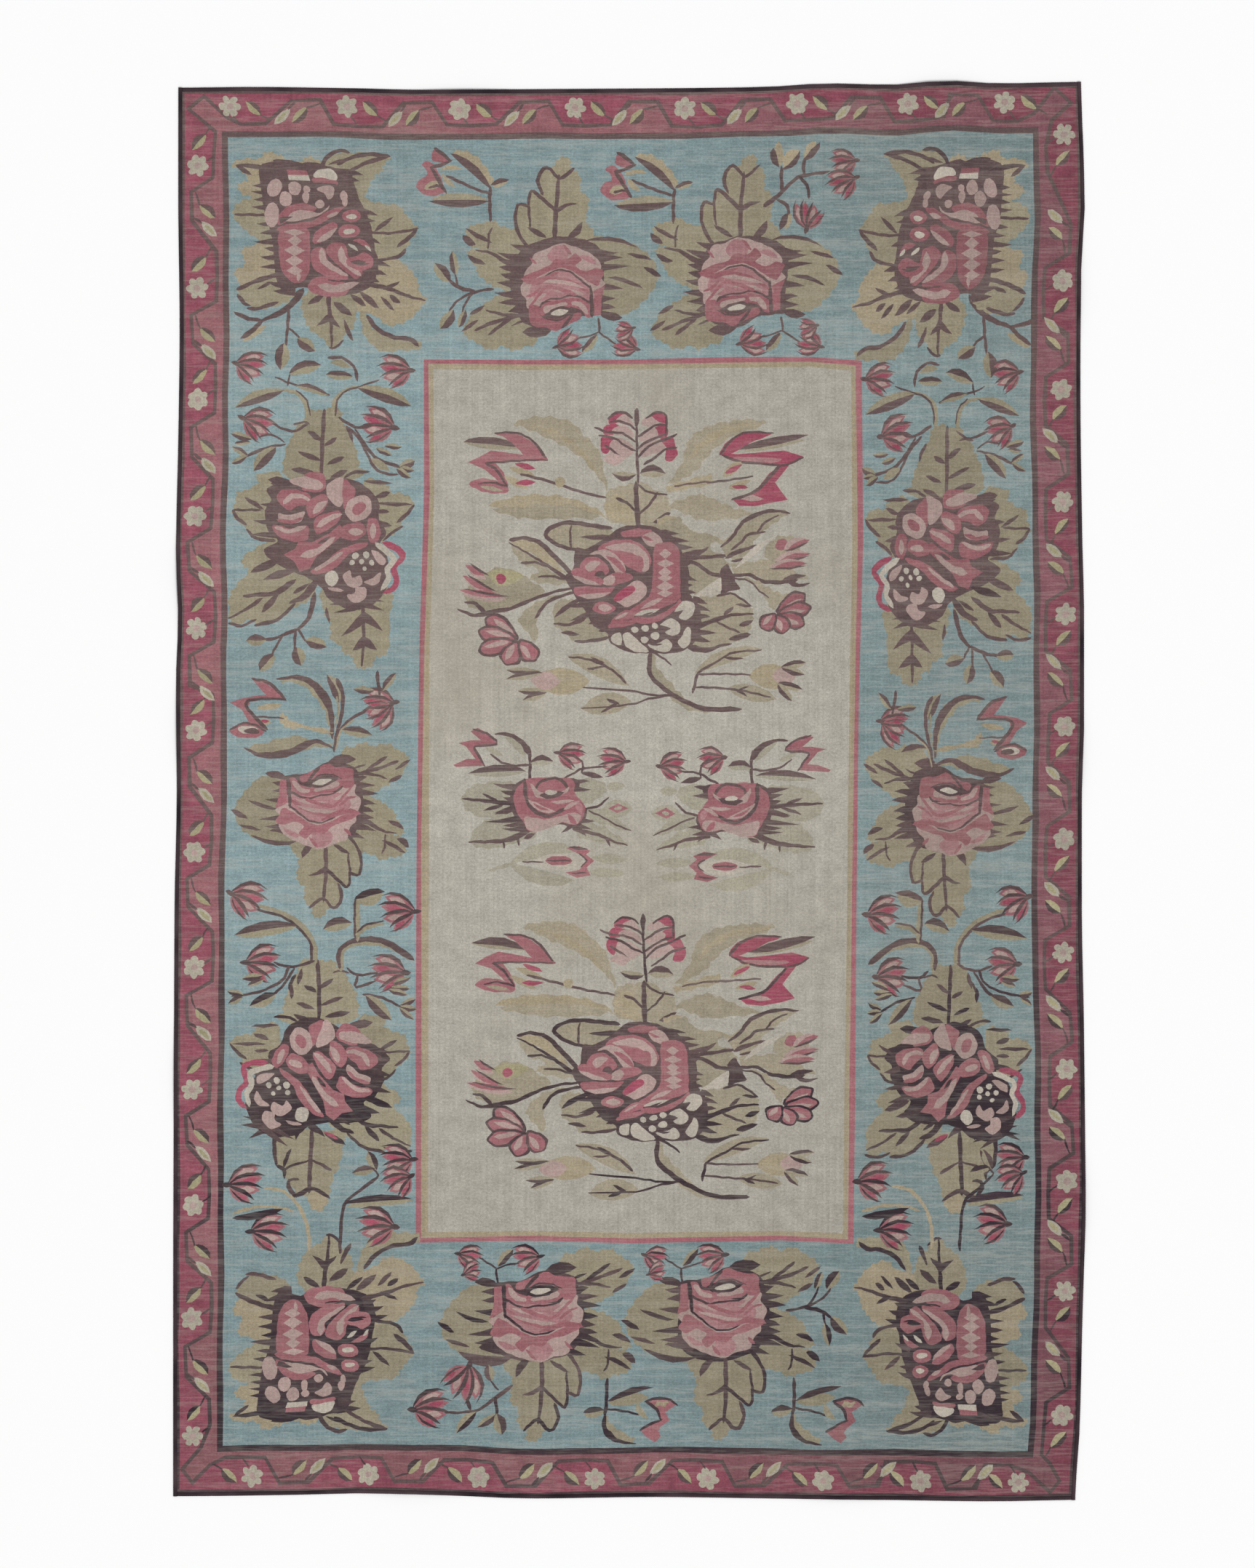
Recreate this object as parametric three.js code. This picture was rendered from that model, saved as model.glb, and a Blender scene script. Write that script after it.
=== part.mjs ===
// A flat-woven floral wool rug of the Bessarabian kind, lying on a floor, in millimetres.
// +X is the rug's width, +Y its length and +Z up. The origin is the centre of its footprint, on the floor.
// The rug is one woven cloth, and each of its four sides is bound by a dark overcast edge. The cloth lies
// flat but for a few low ripples that run in from its sides, and a faint old fold down its middle.

import * as THREE from "three";

// Driving dimensions
const WIDTH = 1808; // side to side over the edges, at mid length
const LENGTH = 2808; // end to end over the edges, at mid width
const CLOTH_THICKNESS = 2.4;
const EDGE_WIDTH = 8;
const EDGE_HEIGHT = 3.6;
const SEAM_GAP = 0.3; // between the cloth and an edge, and between two edges
const CELLS_ACROSS = 30;
const CELLS_ALONG = 46;

// How far each side bows out (+) or in (-) of a true rectangle. at is the share of the way along it.
const LEFT_BOW = [
  { at: 0.0, out: 5.1 },
  { at: 0.13, out: 5.1 },
  { at: 0.3, out: 3.7 },
  { at: 0.42, out: 2.2 },
  { at: 0.5, out: -2.2 },
  { at: 0.58, out: -0.7 },
  { at: 0.625, out: -5.1 },
  { at: 0.67, out: -0.7 },
  { at: 0.75, out: -5.1 },
  { at: 0.83, out: -8.0 },
  { at: 0.92, out: -5.1 },
  { at: 1.0, out: -5.1 },
];
const RIGHT_BOW = [
  { at: 0.0, out: -15.3 },
  { at: 0.05, out: -6.6 },
  { at: 0.13, out: -0.8 },
  { at: 0.21, out: 5.1 },
  { at: 0.33, out: 2.2 },
  { at: 0.42, out: -2.2 },
  { at: 0.5, out: -2.2 },
  { at: 0.55, out: 2.2 },
  { at: 0.63, out: 2.2 },
  { at: 0.67, out: -0.8 },
  { at: 0.79, out: -5.1 },
  { at: 0.87, out: -3.7 },
  { at: 0.91, out: 3.6 },
  { at: 0.955, out: 0.7 },
  { at: 1.0, out: -3.7 },
];
const BOTTOM_BOW = [
  { at: 0.0, out: 1.4 },
  { at: 0.14, out: -1.5 },
  { at: 0.21, out: -4.4 },
  { at: 0.27, out: -2.9 },
  { at: 0.4, out: 5.8 },
  { at: 0.53, out: 2.9 },
  { at: 0.66, out: 5.8 },
  { at: 0.79, out: 8.7 },
  { at: 0.91, out: 11.6 },
  { at: 1.0, out: 8.7 },
];
const TOP_BOW = [
  { at: 0.0, out: -1.4 },
  { at: 0.08, out: 0.0 },
  { at: 0.2, out: -2.9 },
  { at: 0.27, out: -5.8 },
  { at: 0.4, out: -4.4 },
  { at: 0.53, out: -2.9 },
  { at: 0.65, out: 0.0 },
  { at: 0.72, out: 7.1 },
  { at: 0.79, out: 4.4 },
  { at: 0.85, out: 11.6 },
  { at: 0.91, out: 7.1 },
  { at: 1.0, out: 10.1 },
];

// Low ripples in the cloth: the middle of each, the way that it runs, its half length and half width, and
// how high it lifts the cloth off the floor.
const RIPPLES = [
  { x: -820, y: 430, turn: 8, reach: 330, half: 125, lift: 5.0 },
  { x: -850, y: 120, turn: -6, reach: 260, half: 120, lift: 4.0 },
  { x: -840, y: -560, turn: 4, reach: 280, half: 130, lift: 3.5 },
  { x: 850, y: 1010, turn: -10, reach: 300, half: 125, lift: 4.5 },
  { x: 860, y: 60, turn: 5, reach: 280, half: 125, lift: 4.0 },
  { x: 850, y: -820, turn: -4, reach: 300, half: 130, lift: 5.0 },
  { x: 620, y: 1370, turn: 84, reach: 260, half: 120, lift: 4.5 },
  { x: -330, y: 1380, turn: 95, reach: 240, half: 125, lift: 3.5 },
  { x: -430, y: -1370, turn: 86, reach: 260, half: 125, lift: 5.0 },
  { x: 420, y: -1380, turn: 93, reach: 240, half: 120, lift: 3.5 },
  { x: 8, y: 60, turn: 90, reach: 760, half: 120, lift: 1.6 },
];

// The slope of a smooth curve at each row: level at a crest or a hollow, and else between its neighbours'.
function slopesOf(rows) {
  const steps = rows.slice(1).map((row, i) => (row.out - rows[i].out) / (row.at - rows[i].at));
  return rows.map((_, i) => {
    const [before, after] = [steps[i - 1] ?? 0, steps[i] ?? 0];
    return before * after > 0 ? (2 * before * after) / (before + after) : 0;
  });
}

// The bow at a share of the way along a side: a smooth curve through its rows that never overshoots them.
function bowAt(rows, share) {
  const next = Math.min(Math.max(rows.findIndex((row) => row.at >= share), 1), rows.length - 1);
  const [before, after] = [rows[next - 1], rows[next]];
  const slopes = slopesOf(rows);
  const span = after.at - before.at;
  const t = (share - before.at) / span;
  const rise = t * t * (3 - 2 * t);
  const bend = span * t * (1 - t) * (slopes[next - 1] * (1 - t) - slopes[next] * t);
  return before.out + (after.out - before.out) * rise + bend;
}

// The point of the floor at shares across and along the rug's own outline, which is a little bowed.
function onFloor(across, along) {
  const left = -WIDTH / 2 - bowAt(LEFT_BOW, along);
  const right = WIDTH / 2 + bowAt(RIGHT_BOW, along);
  const bottom = -LENGTH / 2 - bowAt(BOTTOM_BOW, across);
  const top = LENGTH / 2 + bowAt(TOP_BOW, across);
  return new THREE.Vector2(left + (right - left) * across, bottom + (top - bottom) * along);
}

// The cloth ends an edge's width and a seam gap in from the outline. Its columns and rows are shared with
// the edges, so that an edge bends where the cloth's side does.
const CLOTH_INSET = EDGE_WIDTH + SEAM_GAP;
const stations = (cells, length) => {
  const margin = CLOTH_INSET / length;
  return Array.from({ length: cells + 1 }, (_, cell) => margin + (cell / cells) * (1 - 2 * margin));
};
const COLUMNS = stations(CELLS_ACROSS, WIDTH);
const ROWS = stations(CELLS_ALONG, LENGTH);

// The height of the cloth's underside over the floor: each ripple is a smooth mound with an oval edge.
function liftAt(point) {
  let height = 0;
  for (const ripple of RIPPLES) {
    const turn = THREE.MathUtils.degToRad(ripple.turn);
    const away = point.clone().sub(new THREE.Vector2(ripple.x, ripple.y));
    const lengthwise = (away.x * Math.cos(turn) + away.y * Math.sin(turn)) / ripple.reach;
    const sideways = (away.y * Math.cos(turn) - away.x * Math.sin(turn)) / ripple.half;
    const inside = Math.max(0, 1 - lengthwise * lengthwise - sideways * sideways);
    height = Math.max(height, ripple.lift * inside * inside);
  }
  return height;
}

// A closed mesh from rings of points, each ring with as many points as the next, capped at both ends.
function solidOfRings(rings) {
  const size = rings[0].length;
  const positions = rings.flat().flatMap((point) => [point.x, point.y, point.z]);
  const faces = [];
  for (let ring = 0; ring + 1 < rings.length; ring++) {
    for (let side = 0; side < size; side++) {
      const [here, beside] = [ring * size + side, ring * size + ((side + 1) % size)];
      faces.push(here, beside, beside + size, here, beside + size, here + size);
    }
  }
  const last = (rings.length - 1) * size;
  for (let side = 1; side + 1 < size; side++) {
    faces.push(0, side + 1, side);
    faces.push(last, last + side, last + side + 1);
  }
  const geometry = new THREE.BufferGeometry();
  geometry.setAttribute("position", new THREE.Float32BufferAttribute(positions, 3));
  geometry.setIndex(faces);
  return geometry;
}

// The woven cloth: an even sheet on a grid, its underside on the floor or on a ripple.
function clothGeometry() {
  const columns = COLUMNS.length;
  const layer = columns * ROWS.length;
  const positions = [];
  for (const raised of [0, CLOTH_THICKNESS]) {
    for (const along of ROWS) {
      for (const across of COLUMNS) {
        const point = onFloor(across, along);
        positions.push(point.x, point.y, liftAt(point) + raised);
      }
    }
  }
  const faces = [];
  for (let row = 0; row < CELLS_ALONG; row++) {
    for (let column = 0; column < CELLS_ACROSS; column++) {
      const corner = row * columns + column;
      const [right, above] = [corner + 1, corner + columns];
      faces.push(corner, above, above + 1, corner, above + 1, right);
      faces.push(layer + corner, layer + right, layer + above + 1);
      faces.push(layer + corner, layer + above + 1, layer + above);
    }
  }
  const wall = (from, to) => faces.push(from, to, to + layer, from, to + layer, from + layer);
  for (let column = 0; column < CELLS_ACROSS; column++) {
    const farCorner = CELLS_ALONG * columns + column;
    wall(column, column + 1);
    wall(farCorner + 1, farCorner);
  }
  for (let row = 0; row < CELLS_ALONG; row++) {
    const nearSide = row * columns;
    const farSide = nearSide + CELLS_ACROSS;
    wall(nearSide + columns, nearSide);
    wall(farSide, farSide + columns);
  }
  const geometry = new THREE.BufferGeometry();
  geometry.setAttribute("position", new THREE.Float32BufferAttribute(positions, 3));
  geometry.setIndex(faces);
  return geometry;
}

// An edge's section from its outer side round to its inner side: a flattened hexagon, flat underneath.
// aside is the share of the edge's width in from the rug's outline, and up the share of its height.
const EDGE_SECTION = [
  { aside: 0.0, up: 0.45 },
  { aside: 0.2, up: 0.0 },
  { aside: 1.0, up: 0.0 },
  { aside: 1.0, up: 0.6 },
  { aside: 0.72, up: 1.0 },
  { aside: 0.26, up: 0.92 },
];

// One side's overcast edge. pointAt gives the point at a share along the side and a share of the edge's
// width in from the outline.
function edgeGeometry(pointAt, shares, clockwise) {
  const section = clockwise ? [...EDGE_SECTION].reverse() : EDGE_SECTION;
  const rings = shares.map((share) =>
    section.map((corner) => {
      const point = pointAt(share, corner.aside);
      return new THREE.Vector3(point.x, point.y, liftAt(point) + corner.up * EDGE_HEIGHT);
    }),
  );
  return solidOfRings(rings);
}

// The side edges run the rug's whole length. The end edges lie between them, a seam gap short of each.
const WHOLE_LENGTH = [0, ...ROWS, 1];
const inAcross = (aside) => (aside * EDGE_WIDTH) / WIDTH;
const inAlong = (aside) => (aside * EDGE_WIDTH) / LENGTH;
const alongLeft = (share, aside) => onFloor(inAcross(aside), share);
const alongRight = (share, aside) => onFloor(1 - inAcross(aside), share);
const alongBottom = (share, aside) => onFloor(share, inAlong(aside));
const alongTop = (share, aside) => onFloor(share, 1 - inAlong(aside));
const EDGES = [
  { name: "edge_left", pointAt: alongLeft, shares: WHOLE_LENGTH, clockwise: true },
  { name: "edge_right", pointAt: alongRight, shares: WHOLE_LENGTH, clockwise: false },
  { name: "edge_bottom", pointAt: alongBottom, shares: COLUMNS, clockwise: false },
  { name: "edge_top", pointAt: alongTop, shares: COLUMNS, clockwise: true },
];

const clothWool = new THREE.MeshStandardMaterial({ color: 0x7f9aa0, roughness: 0.95, metalness: 0 });
const edgeWool = new THREE.MeshStandardMaterial({ color: 0x3a2e36, roughness: 0.95, metalness: 0 });

const rug = new THREE.Group();

const cloth = new THREE.Mesh(clothGeometry(), clothWool);
cloth.name = "cloth";
rug.add(cloth);

for (const { name, pointAt, shares, clockwise } of EDGES) {
  const edge = new THREE.Mesh(edgeGeometry(pointAt, shares, clockwise), edgeWool);
  edge.name = name;
  rug.add(edge);
}

export default rug;
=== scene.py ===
# A flat-woven floral rug of the Bessarabian kind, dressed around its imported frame.
import math

import bpy
import numpy as np
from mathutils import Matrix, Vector
from mathutils.geometry import delaunay_2d_cdt


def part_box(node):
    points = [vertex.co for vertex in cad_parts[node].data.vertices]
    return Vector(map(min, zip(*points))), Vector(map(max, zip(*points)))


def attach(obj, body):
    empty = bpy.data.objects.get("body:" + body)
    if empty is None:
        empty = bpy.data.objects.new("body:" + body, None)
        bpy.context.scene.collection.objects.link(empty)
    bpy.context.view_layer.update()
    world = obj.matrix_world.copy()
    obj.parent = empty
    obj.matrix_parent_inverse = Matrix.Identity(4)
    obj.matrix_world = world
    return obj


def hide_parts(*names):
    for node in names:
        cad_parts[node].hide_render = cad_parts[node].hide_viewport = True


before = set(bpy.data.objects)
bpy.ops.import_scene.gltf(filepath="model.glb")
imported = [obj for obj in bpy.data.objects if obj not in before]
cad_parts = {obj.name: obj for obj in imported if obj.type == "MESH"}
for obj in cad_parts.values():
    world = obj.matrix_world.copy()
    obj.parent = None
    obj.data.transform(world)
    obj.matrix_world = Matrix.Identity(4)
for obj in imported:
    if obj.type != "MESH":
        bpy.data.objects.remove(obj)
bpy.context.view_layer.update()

bl_info = {
    "name": "Bessarabian kilim",
    "version": (1, 0, 0),
    "blender": (4, 5, 0),
    "location": "View3D > Sidebar > Kilim",
    "description": "Weaves a floral rug with its overcast edges, and sets a plain stage for it",
    "category": "Add Mesh",
}

# Sizes of the rug in millimetres, as its solids have them. +X is its width, +Y its length and +Z up.
MM = 0.001
WIDTH = 1808.0
LENGTH = 2808.0
CLOTH_THICKNESS = 2.4
EDGE_WIDTH = 8.0
EDGE_HEIGHT = 3.6
SEAM_GAP = 0.3
CELLS_ACROSS = 30
CELLS_ALONG = 46

# How far each side bows out (+) or in (-) of a true rectangle: the share of the way along it, and how far.
LEFT_BOW = [
    (0.0, 5.1), (0.13, 5.1), (0.3, 3.7), (0.42, 2.2), (0.5, -2.2), (0.58, -0.7),
    (0.625, -5.1), (0.67, -0.7), (0.75, -5.1), (0.83, -8.0), (0.92, -5.1), (1.0, -5.1),
]
RIGHT_BOW = [
    (0.0, -15.3), (0.05, -6.6), (0.13, -0.8), (0.21, 5.1), (0.33, 2.2),
    (0.42, -2.2), (0.5, -2.2), (0.55, 2.2), (0.63, 2.2), (0.67, -0.8),
    (0.79, -5.1), (0.87, -3.7), (0.91, 3.6), (0.955, 0.7), (1.0, -3.7),
]
BOTTOM_BOW = [
    (0.0, 1.4), (0.14, -1.5), (0.21, -4.4), (0.27, -2.9), (0.4, 5.8),
    (0.53, 2.9), (0.66, 5.8), (0.79, 8.7), (0.91, 11.6), (1.0, 8.7),
]
TOP_BOW = [
    (0.0, -1.4), (0.08, 0.0), (0.2, -2.9), (0.27, -5.8), (0.4, -4.4), (0.53, -2.9),
    (0.65, 0.0), (0.72, 7.1), (0.79, 4.4), (0.85, 11.6), (0.91, 7.1), (1.0, 10.1),
]

# Low ripples: the middle of each, the way that it runs in degrees, its half length, half width and lift.
RIPPLES = [
    (-820, 430, 8, 330, 125, 5.0),
    (-850, 120, -6, 260, 120, 4.0),
    (-840, -560, 4, 280, 130, 3.5),
    (850, 1010, -10, 300, 125, 4.5),
    (860, 60, 5, 280, 125, 4.0),
    (850, -820, -4, 300, 130, 5.0),
    (620, 1370, 84, 260, 120, 4.5),
    (-330, 1380, 95, 240, 125, 3.5),
    (-430, -1370, 86, 260, 125, 5.0),
    (420, -1380, 93, 240, 120, 3.5),
    (8, 60, 90, 760, 120, 1.6),
]

# Where the photograph's middle lies over the rug, and how much of the floor it shows.
PHOTO_MIDDLE = (-3.7, 14.5)
PHOTO_HEIGHT = 3126.0
# Half the side of the stage's floor, in metres.
FLOOR_HALF = 12.0
# The soft sun's apparent size, and its tilt from straight above and turn round the rug, in degrees.
SUN_SIZE = 25.0
SUN_TILT = 38.0
SUN_TURN = 35.0
DESIGN_MIDDLE = (0.7, -2.9)
DESIGN_SEED = 11
# How much lighter or darker one area's lot of yarn is than its dye, as a share.
LOT_SPREAD = 0.035
# The underside's mesh leaves out areas smaller than this many square millimetres.
SMALLEST_BELOW = 1000.0


def linear(red, green, blue):
    """A dye's colour as light: each 8-bit value over 255, brought from the screen's curve to a line."""
    shares = np.array([red, green, blue]) / 255.0
    light = np.where(shares <= 0.04045, shares / 12.92, ((shares + 0.055) / 1.055) ** 2.4)
    return tuple(float(value) for value in light)


DYES = {
    "red": linear(148, 80, 95),
    "strip": linear(157, 104, 110),
    "brown": linear(101, 82, 81),
    "black": linear(50, 38, 45),
    "blue": linear(132, 153, 156),
    "ivory": linear(171, 166, 155),
    "pink": linear(158, 98, 106),
    "tan": linear(163, 150, 125),
    "khaki": linear(150, 141, 118),
    "olive": linear(158, 150, 118),
    "rosy": linear(156, 101, 107),
    "deep": linear(158, 76, 95),
    "ink": linear(58, 44, 52),
    "blush": linear(168, 122, 125),
    "pale": linear(174, 149, 143),
    "cream": linear(182, 173, 160),
    "bone": linear(172, 165, 149),
    "sand": linear(155, 145, 125),
    "faint": linear(161, 155, 138),
}

# How much each dye shows weft streaks, mottling and old stains.
WEAR = {
    "red": (0.4, 1.3, 0.0),
    "strip": (0.4, 1.0, 0.1),
    "brown": (0.3, 0.6, 0.1),
    "black": (0.3, 0.6, 0.1),
    "blue": (0.72, 0.7, 0.25),
    "ivory": (0.25, 0.7, 1.0),
}
PLAIN_WEAR = (0.35, 0.6, 0.3)


def slopes_of(at, out):
    """Slopes of a smooth curve at its rows: nothing at a crest, else the harmonic mean of the two steps."""
    steps = np.diff(out) / np.diff(at)
    before, after = np.append(0.0, steps), np.append(steps, 0.0)
    agree = before * after > 0
    total = np.where(agree, before + after, 1.0)
    return np.where(agree, 2 * before * after / total, 0.0)


def bow_at(rows, share):
    """The bow at shares of a side: the cubic between two rows that has the slopes of slopes_of at both."""
    at, out = np.array(rows, float).T
    slopes = slopes_of(at, out)
    share = np.asarray(share, float)
    after = np.clip(np.searchsorted(at, share), 1, len(at) - 1)
    span = at[after] - at[after - 1]
    t = (share - at[after - 1]) / span
    rise = t * t * (3 - 2 * t)
    bend = span * t * (1 - t) * (slopes[after - 1] * (1 - t) - slopes[after] * t)
    return out[after - 1] + (out[after] - out[after - 1]) * rise + bend


def on_floor(across, along):
    """Points at shares across and along the bowed outline: a blend of its four sides."""
    left = -WIDTH / 2 - bow_at(LEFT_BOW, along)
    right = WIDTH / 2 + bow_at(RIGHT_BOW, along)
    bottom = -LENGTH / 2 - bow_at(BOTTOM_BOW, across)
    top = LENGTH / 2 + bow_at(TOP_BOW, across)
    return np.stack([left + (right - left) * across, bottom + (top - bottom) * along], axis=-1)


def lift_at(points):
    """Height of the underside: the highest mound over a point, each lift times (1 - r squared) squared."""
    height = np.zeros(len(points))
    for x, y, turn, reach, half, lift in RIPPLES:
        c, s = math.cos(math.radians(turn)), math.sin(math.radians(turn))
        away = points - (x, y)
        lengthwise = (away[:, 0] * c + away[:, 1] * s) / reach
        sideways = (away[:, 1] * c - away[:, 0] * s) / half
        inside = np.clip(1 - lengthwise**2 - sideways**2, 0, None)
        height = np.maximum(height, lift * inside**2)
    return height


def stations(cells, length):
    """Even shares of a side from one end of the cloth to the other, inside the overcast edges."""
    margin = (EDGE_WIDTH + SEAM_GAP) / length
    return np.linspace(margin, 1 - margin, cells + 1)


COLUMNS = stations(CELLS_ACROSS, WIDTH)
ROWS = stations(CELLS_ALONG, LENGTH)


def ring_at(inset, samples_across=31, samples_along=47):
    """A closed line all round the rug at one inset from its outline, counter-clockwise from bottom left."""
    a, b = inset / WIDTH, inset / LENGTH
    across = np.linspace(a, 1 - a, samples_across)
    along = np.linspace(b, 1 - b, samples_along)
    return np.concatenate(
        [
            on_floor(across, np.full_like(across, b))[:-1],
            on_floor(np.full_like(along, 1 - a), along)[:-1],
            on_floor(across[::-1], np.full_like(across, 1 - b))[:-1],
            on_floor(np.full_like(along, a), along[::-1])[:-1],
        ]
    )


def cloth_outline():
    """The cloth's outline through the same stations as its solid has."""
    return ring_at(EDGE_WIDTH + SEAM_GAP, CELLS_ACROSS + 1, CELLS_ALONG + 1)


def smooth_through(points, closed, span_mm=6.0):
    """A curve through points: the cubic of Catmull and Rom, cut about every span_mm, four times at most."""
    here = np.asarray(points, float)
    if closed:
        before, after, beyond = np.roll(here, 1, 0), np.roll(here, -1, 0), np.roll(here, -2, 0)
    else:
        padded = np.vstack([2 * here[0] - here[1], here, 2 * here[-1] - here[-2]])
        before, here, after, beyond = padded[:-3], padded[1:-2], padded[2:-1], padded[3:]
    mean_span = np.linalg.norm(after - here, axis=1).mean()
    steps = int(np.clip(round(mean_span / span_mm), 1, 4))
    t = (np.arange(steps) / steps)[None, :, None]
    here, before, after, beyond = (p[:, None, :] for p in (here, before, after, beyond))
    curve = 0.5 * (
        2 * here
        + (after - before) * t
        + (2 * before - 5 * here + 4 * after - beyond) * t**2
        + (3 * here - before - 3 * after + beyond) * t**3
    )
    curve = curve.reshape(-1, 2)
    return curve if closed else np.vstack([curve, padded[-2]])


def hand_drift(points):
    """How far the weaver's hand strays: slow sines of both places by up to 3 mm and quick ones by 1 mm."""
    x, y = points[:, 0], points[:, 1]
    across = 1.6 * np.sin(x / 61 + y / 83 + 1) + 1.2 * np.sin(y / 37 - x / 90)
    across += 0.8 * np.sin(x / 5.3 + y / 4.1)
    along = 1.6 * np.sin(x / 71 - y / 57 + 2) + 1.2 * np.sin(x / 33 + y / 97)
    along += 0.8 * np.sin(x / 4.7 - y / 5.9)
    return np.stack([across, along], axis=1)


# A lens: shares of its length, and its half width at each as a share of the widest.
LENS_AT = np.array([0.0, 0.1, 0.3, 0.55, 0.8, 1.0])
LENS_HALF = np.array([0.0, 0.45, 0.9, 1.0, 0.7, 0.0])
# How far a leaf's edge steps out and in, in mm, and how fast, in radians from point to point.
LEAF_STEP = 2.6
LEAF_RATE = 2.1
# A barb's outline: shares of its length and of its half width.
BARB_SHAPE = [(-0.2, 0.9), (0.2, 0.95), (0.6, 0.62), (1, 0), (0.55, -0.42), (0.15, -0.8), (-0.2, -0.9)]


class Brush:
    """Paints one motif's areas. A motif is drawn round a point of its own, and to is where that point lies on
    the rug; mirror is its scale across and along, negative where it is mirrored."""

    def __init__(self, areas, to=(0, 0), mirror=(1, 1), turn=0.0, size=1.0):
        self.areas = areas
        self.to = np.array(to, float)
        c, s = math.cos(math.radians(turn)), math.sin(math.radians(turn))
        self.matrix = np.array([[c, -s], [s, c]]) @ np.diag(mirror) * size

    def area(self, dye, points):
        """One flat area of a dye, in straight lines through its points."""
        placed = np.reshape(points, (-1, 2)) @ self.matrix.T + self.to
        self.areas.append((dye, placed + hand_drift(placed) + DESIGN_MIDDLE))

    def form(self, dye, *places):
        """A rounded area: a smooth closed curve through its places, each an x and a y. A leaf's edge steps in
        and out as the weave does, by a quick sine along it."""
        line = smooth_through(np.reshape(places, (-1, 2)), True)
        if dye in ("khaki", "tan"):
            out = np.roll(line, -1, axis=0) - np.roll(line, 1, axis=0)
            out = np.stack([out[:, 1], -out[:, 0]], axis=1)
            out /= np.maximum(np.linalg.norm(out, axis=1), 1)[:, None]
            line = line + out * (LEAF_STEP * np.sin(np.arange(len(line)) * LEAF_RATE))[:, None]
        self.area(dye, line)

    def forms(self, dye, *rows):
        """Several forms of one dye."""
        for row in rows:
            self.form(dye, *row)

    def oval(self, dye, x, y, half_x, half_y, turn=0.0):
        """An ellipse by its middle and half axes."""
        corners = 8 if max(half_x, half_y) < 9 else 12
        angle = np.arange(corners) * 2 * math.pi / corners
        c, s = math.cos(math.radians(turn)), math.sin(math.radians(turn))
        u, v = half_x * np.cos(angle), half_y * np.sin(angle)
        self.area(dye, np.stack([x + u * c - v * s, y + u * s + v * c], axis=1))

    def blade(self, dye, x0, y0, x1, y1, width, bend=0.0, sides=(1, 1)):
        """A leaf-like lens from a point to a point, bent to its left by bend at the middle."""
        start, run = np.array([x0, y0], float), np.array([x1 - x0, y1 - y0], float)
        left = np.array([-run[1], run[0]]) / max(np.hypot(*run), 1e-6)
        t = LENS_AT[:, None]
        middle = start + run * t + left * (bend * 4 * t * (1 - t))
        half = left * (LENS_HALF * width / 2)[:, None]
        above = middle + half * sides[0]
        below = middle - half * sides[1]
        self.area(dye, np.vstack([above, below[-2:0:-1]]))

    def leaf(self, x0, y0, x1, y1, width, bend=0.0, dark=1):
        """A khaki lens with its left half (dark=1) or right half (dark=-1) in the outline's dye."""
        self.blade("khaki", x0, y0, x1, y1, width, bend)
        self.blade("brown", x0, y0, x1, y1, width * 1.1, bend, (1, 0) if dark > 0 else (0, 1))

    def stem(self, dye, width, end, *places):
        """A smooth line through places, each an x and a y, whose width runs evenly from width to end."""
        middle = smooth_through(np.reshape(places, (-1, 2)), False, 9.0)
        along = np.gradient(middle, axis=0)
        along /= np.maximum(np.linalg.norm(along, axis=1, keepdims=True), 1e-6)
        left = np.stack([-along[:, 1], along[:, 0]], axis=1)
        half = np.linspace(width, end, len(middle))[:, None] / 2
        half[[0, -1]] *= 0.7
        first_cap, last_cap = middle[0] - along[0] * width * 0.5, middle[-1] + along[-1] * end * 0.7
        self.area(dye, np.vstack([first_cap, middle + left * half, last_cap, (middle - left * half)[::-1]]))

    def ovals(self, dye, *rows):
        """Several ovals of one dye."""
        for row in rows:
            self.oval(dye, *row)

    def blades(self, dye, *rows):
        """Several blades of one dye."""
        for row in rows:
            self.blade(dye, *row)

    def leaves(self, *rows):
        """Several leaves."""
        for row in rows:
            self.leaf(*row)

    def stems(self, dye, *rows):
        """Several stems of one dye."""
        for row in rows:
            self.stem(dye, *row)

    def spikes(self, width, *rows):
        """Pointed brown barbs, each from a root to a tip."""
        for row in rows:
            self.barb("brown", *row, width)

    def barb(self, dye, x0, y0, x1, y1, width):
        """A pointed barb from a broad root to a tip, a little swollen on one side."""
        start, run = np.array([x0, y0], float), np.array([x1 - x0, y1 - y0], float)
        left = np.array([-run[1], run[0]]) / max(np.hypot(*run), 1e-6) * width / 2
        self.area(dye, [start + run * t + left * side for t, side in BARB_SHAPE])


# Motifs of the two end panels and of the sides


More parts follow.
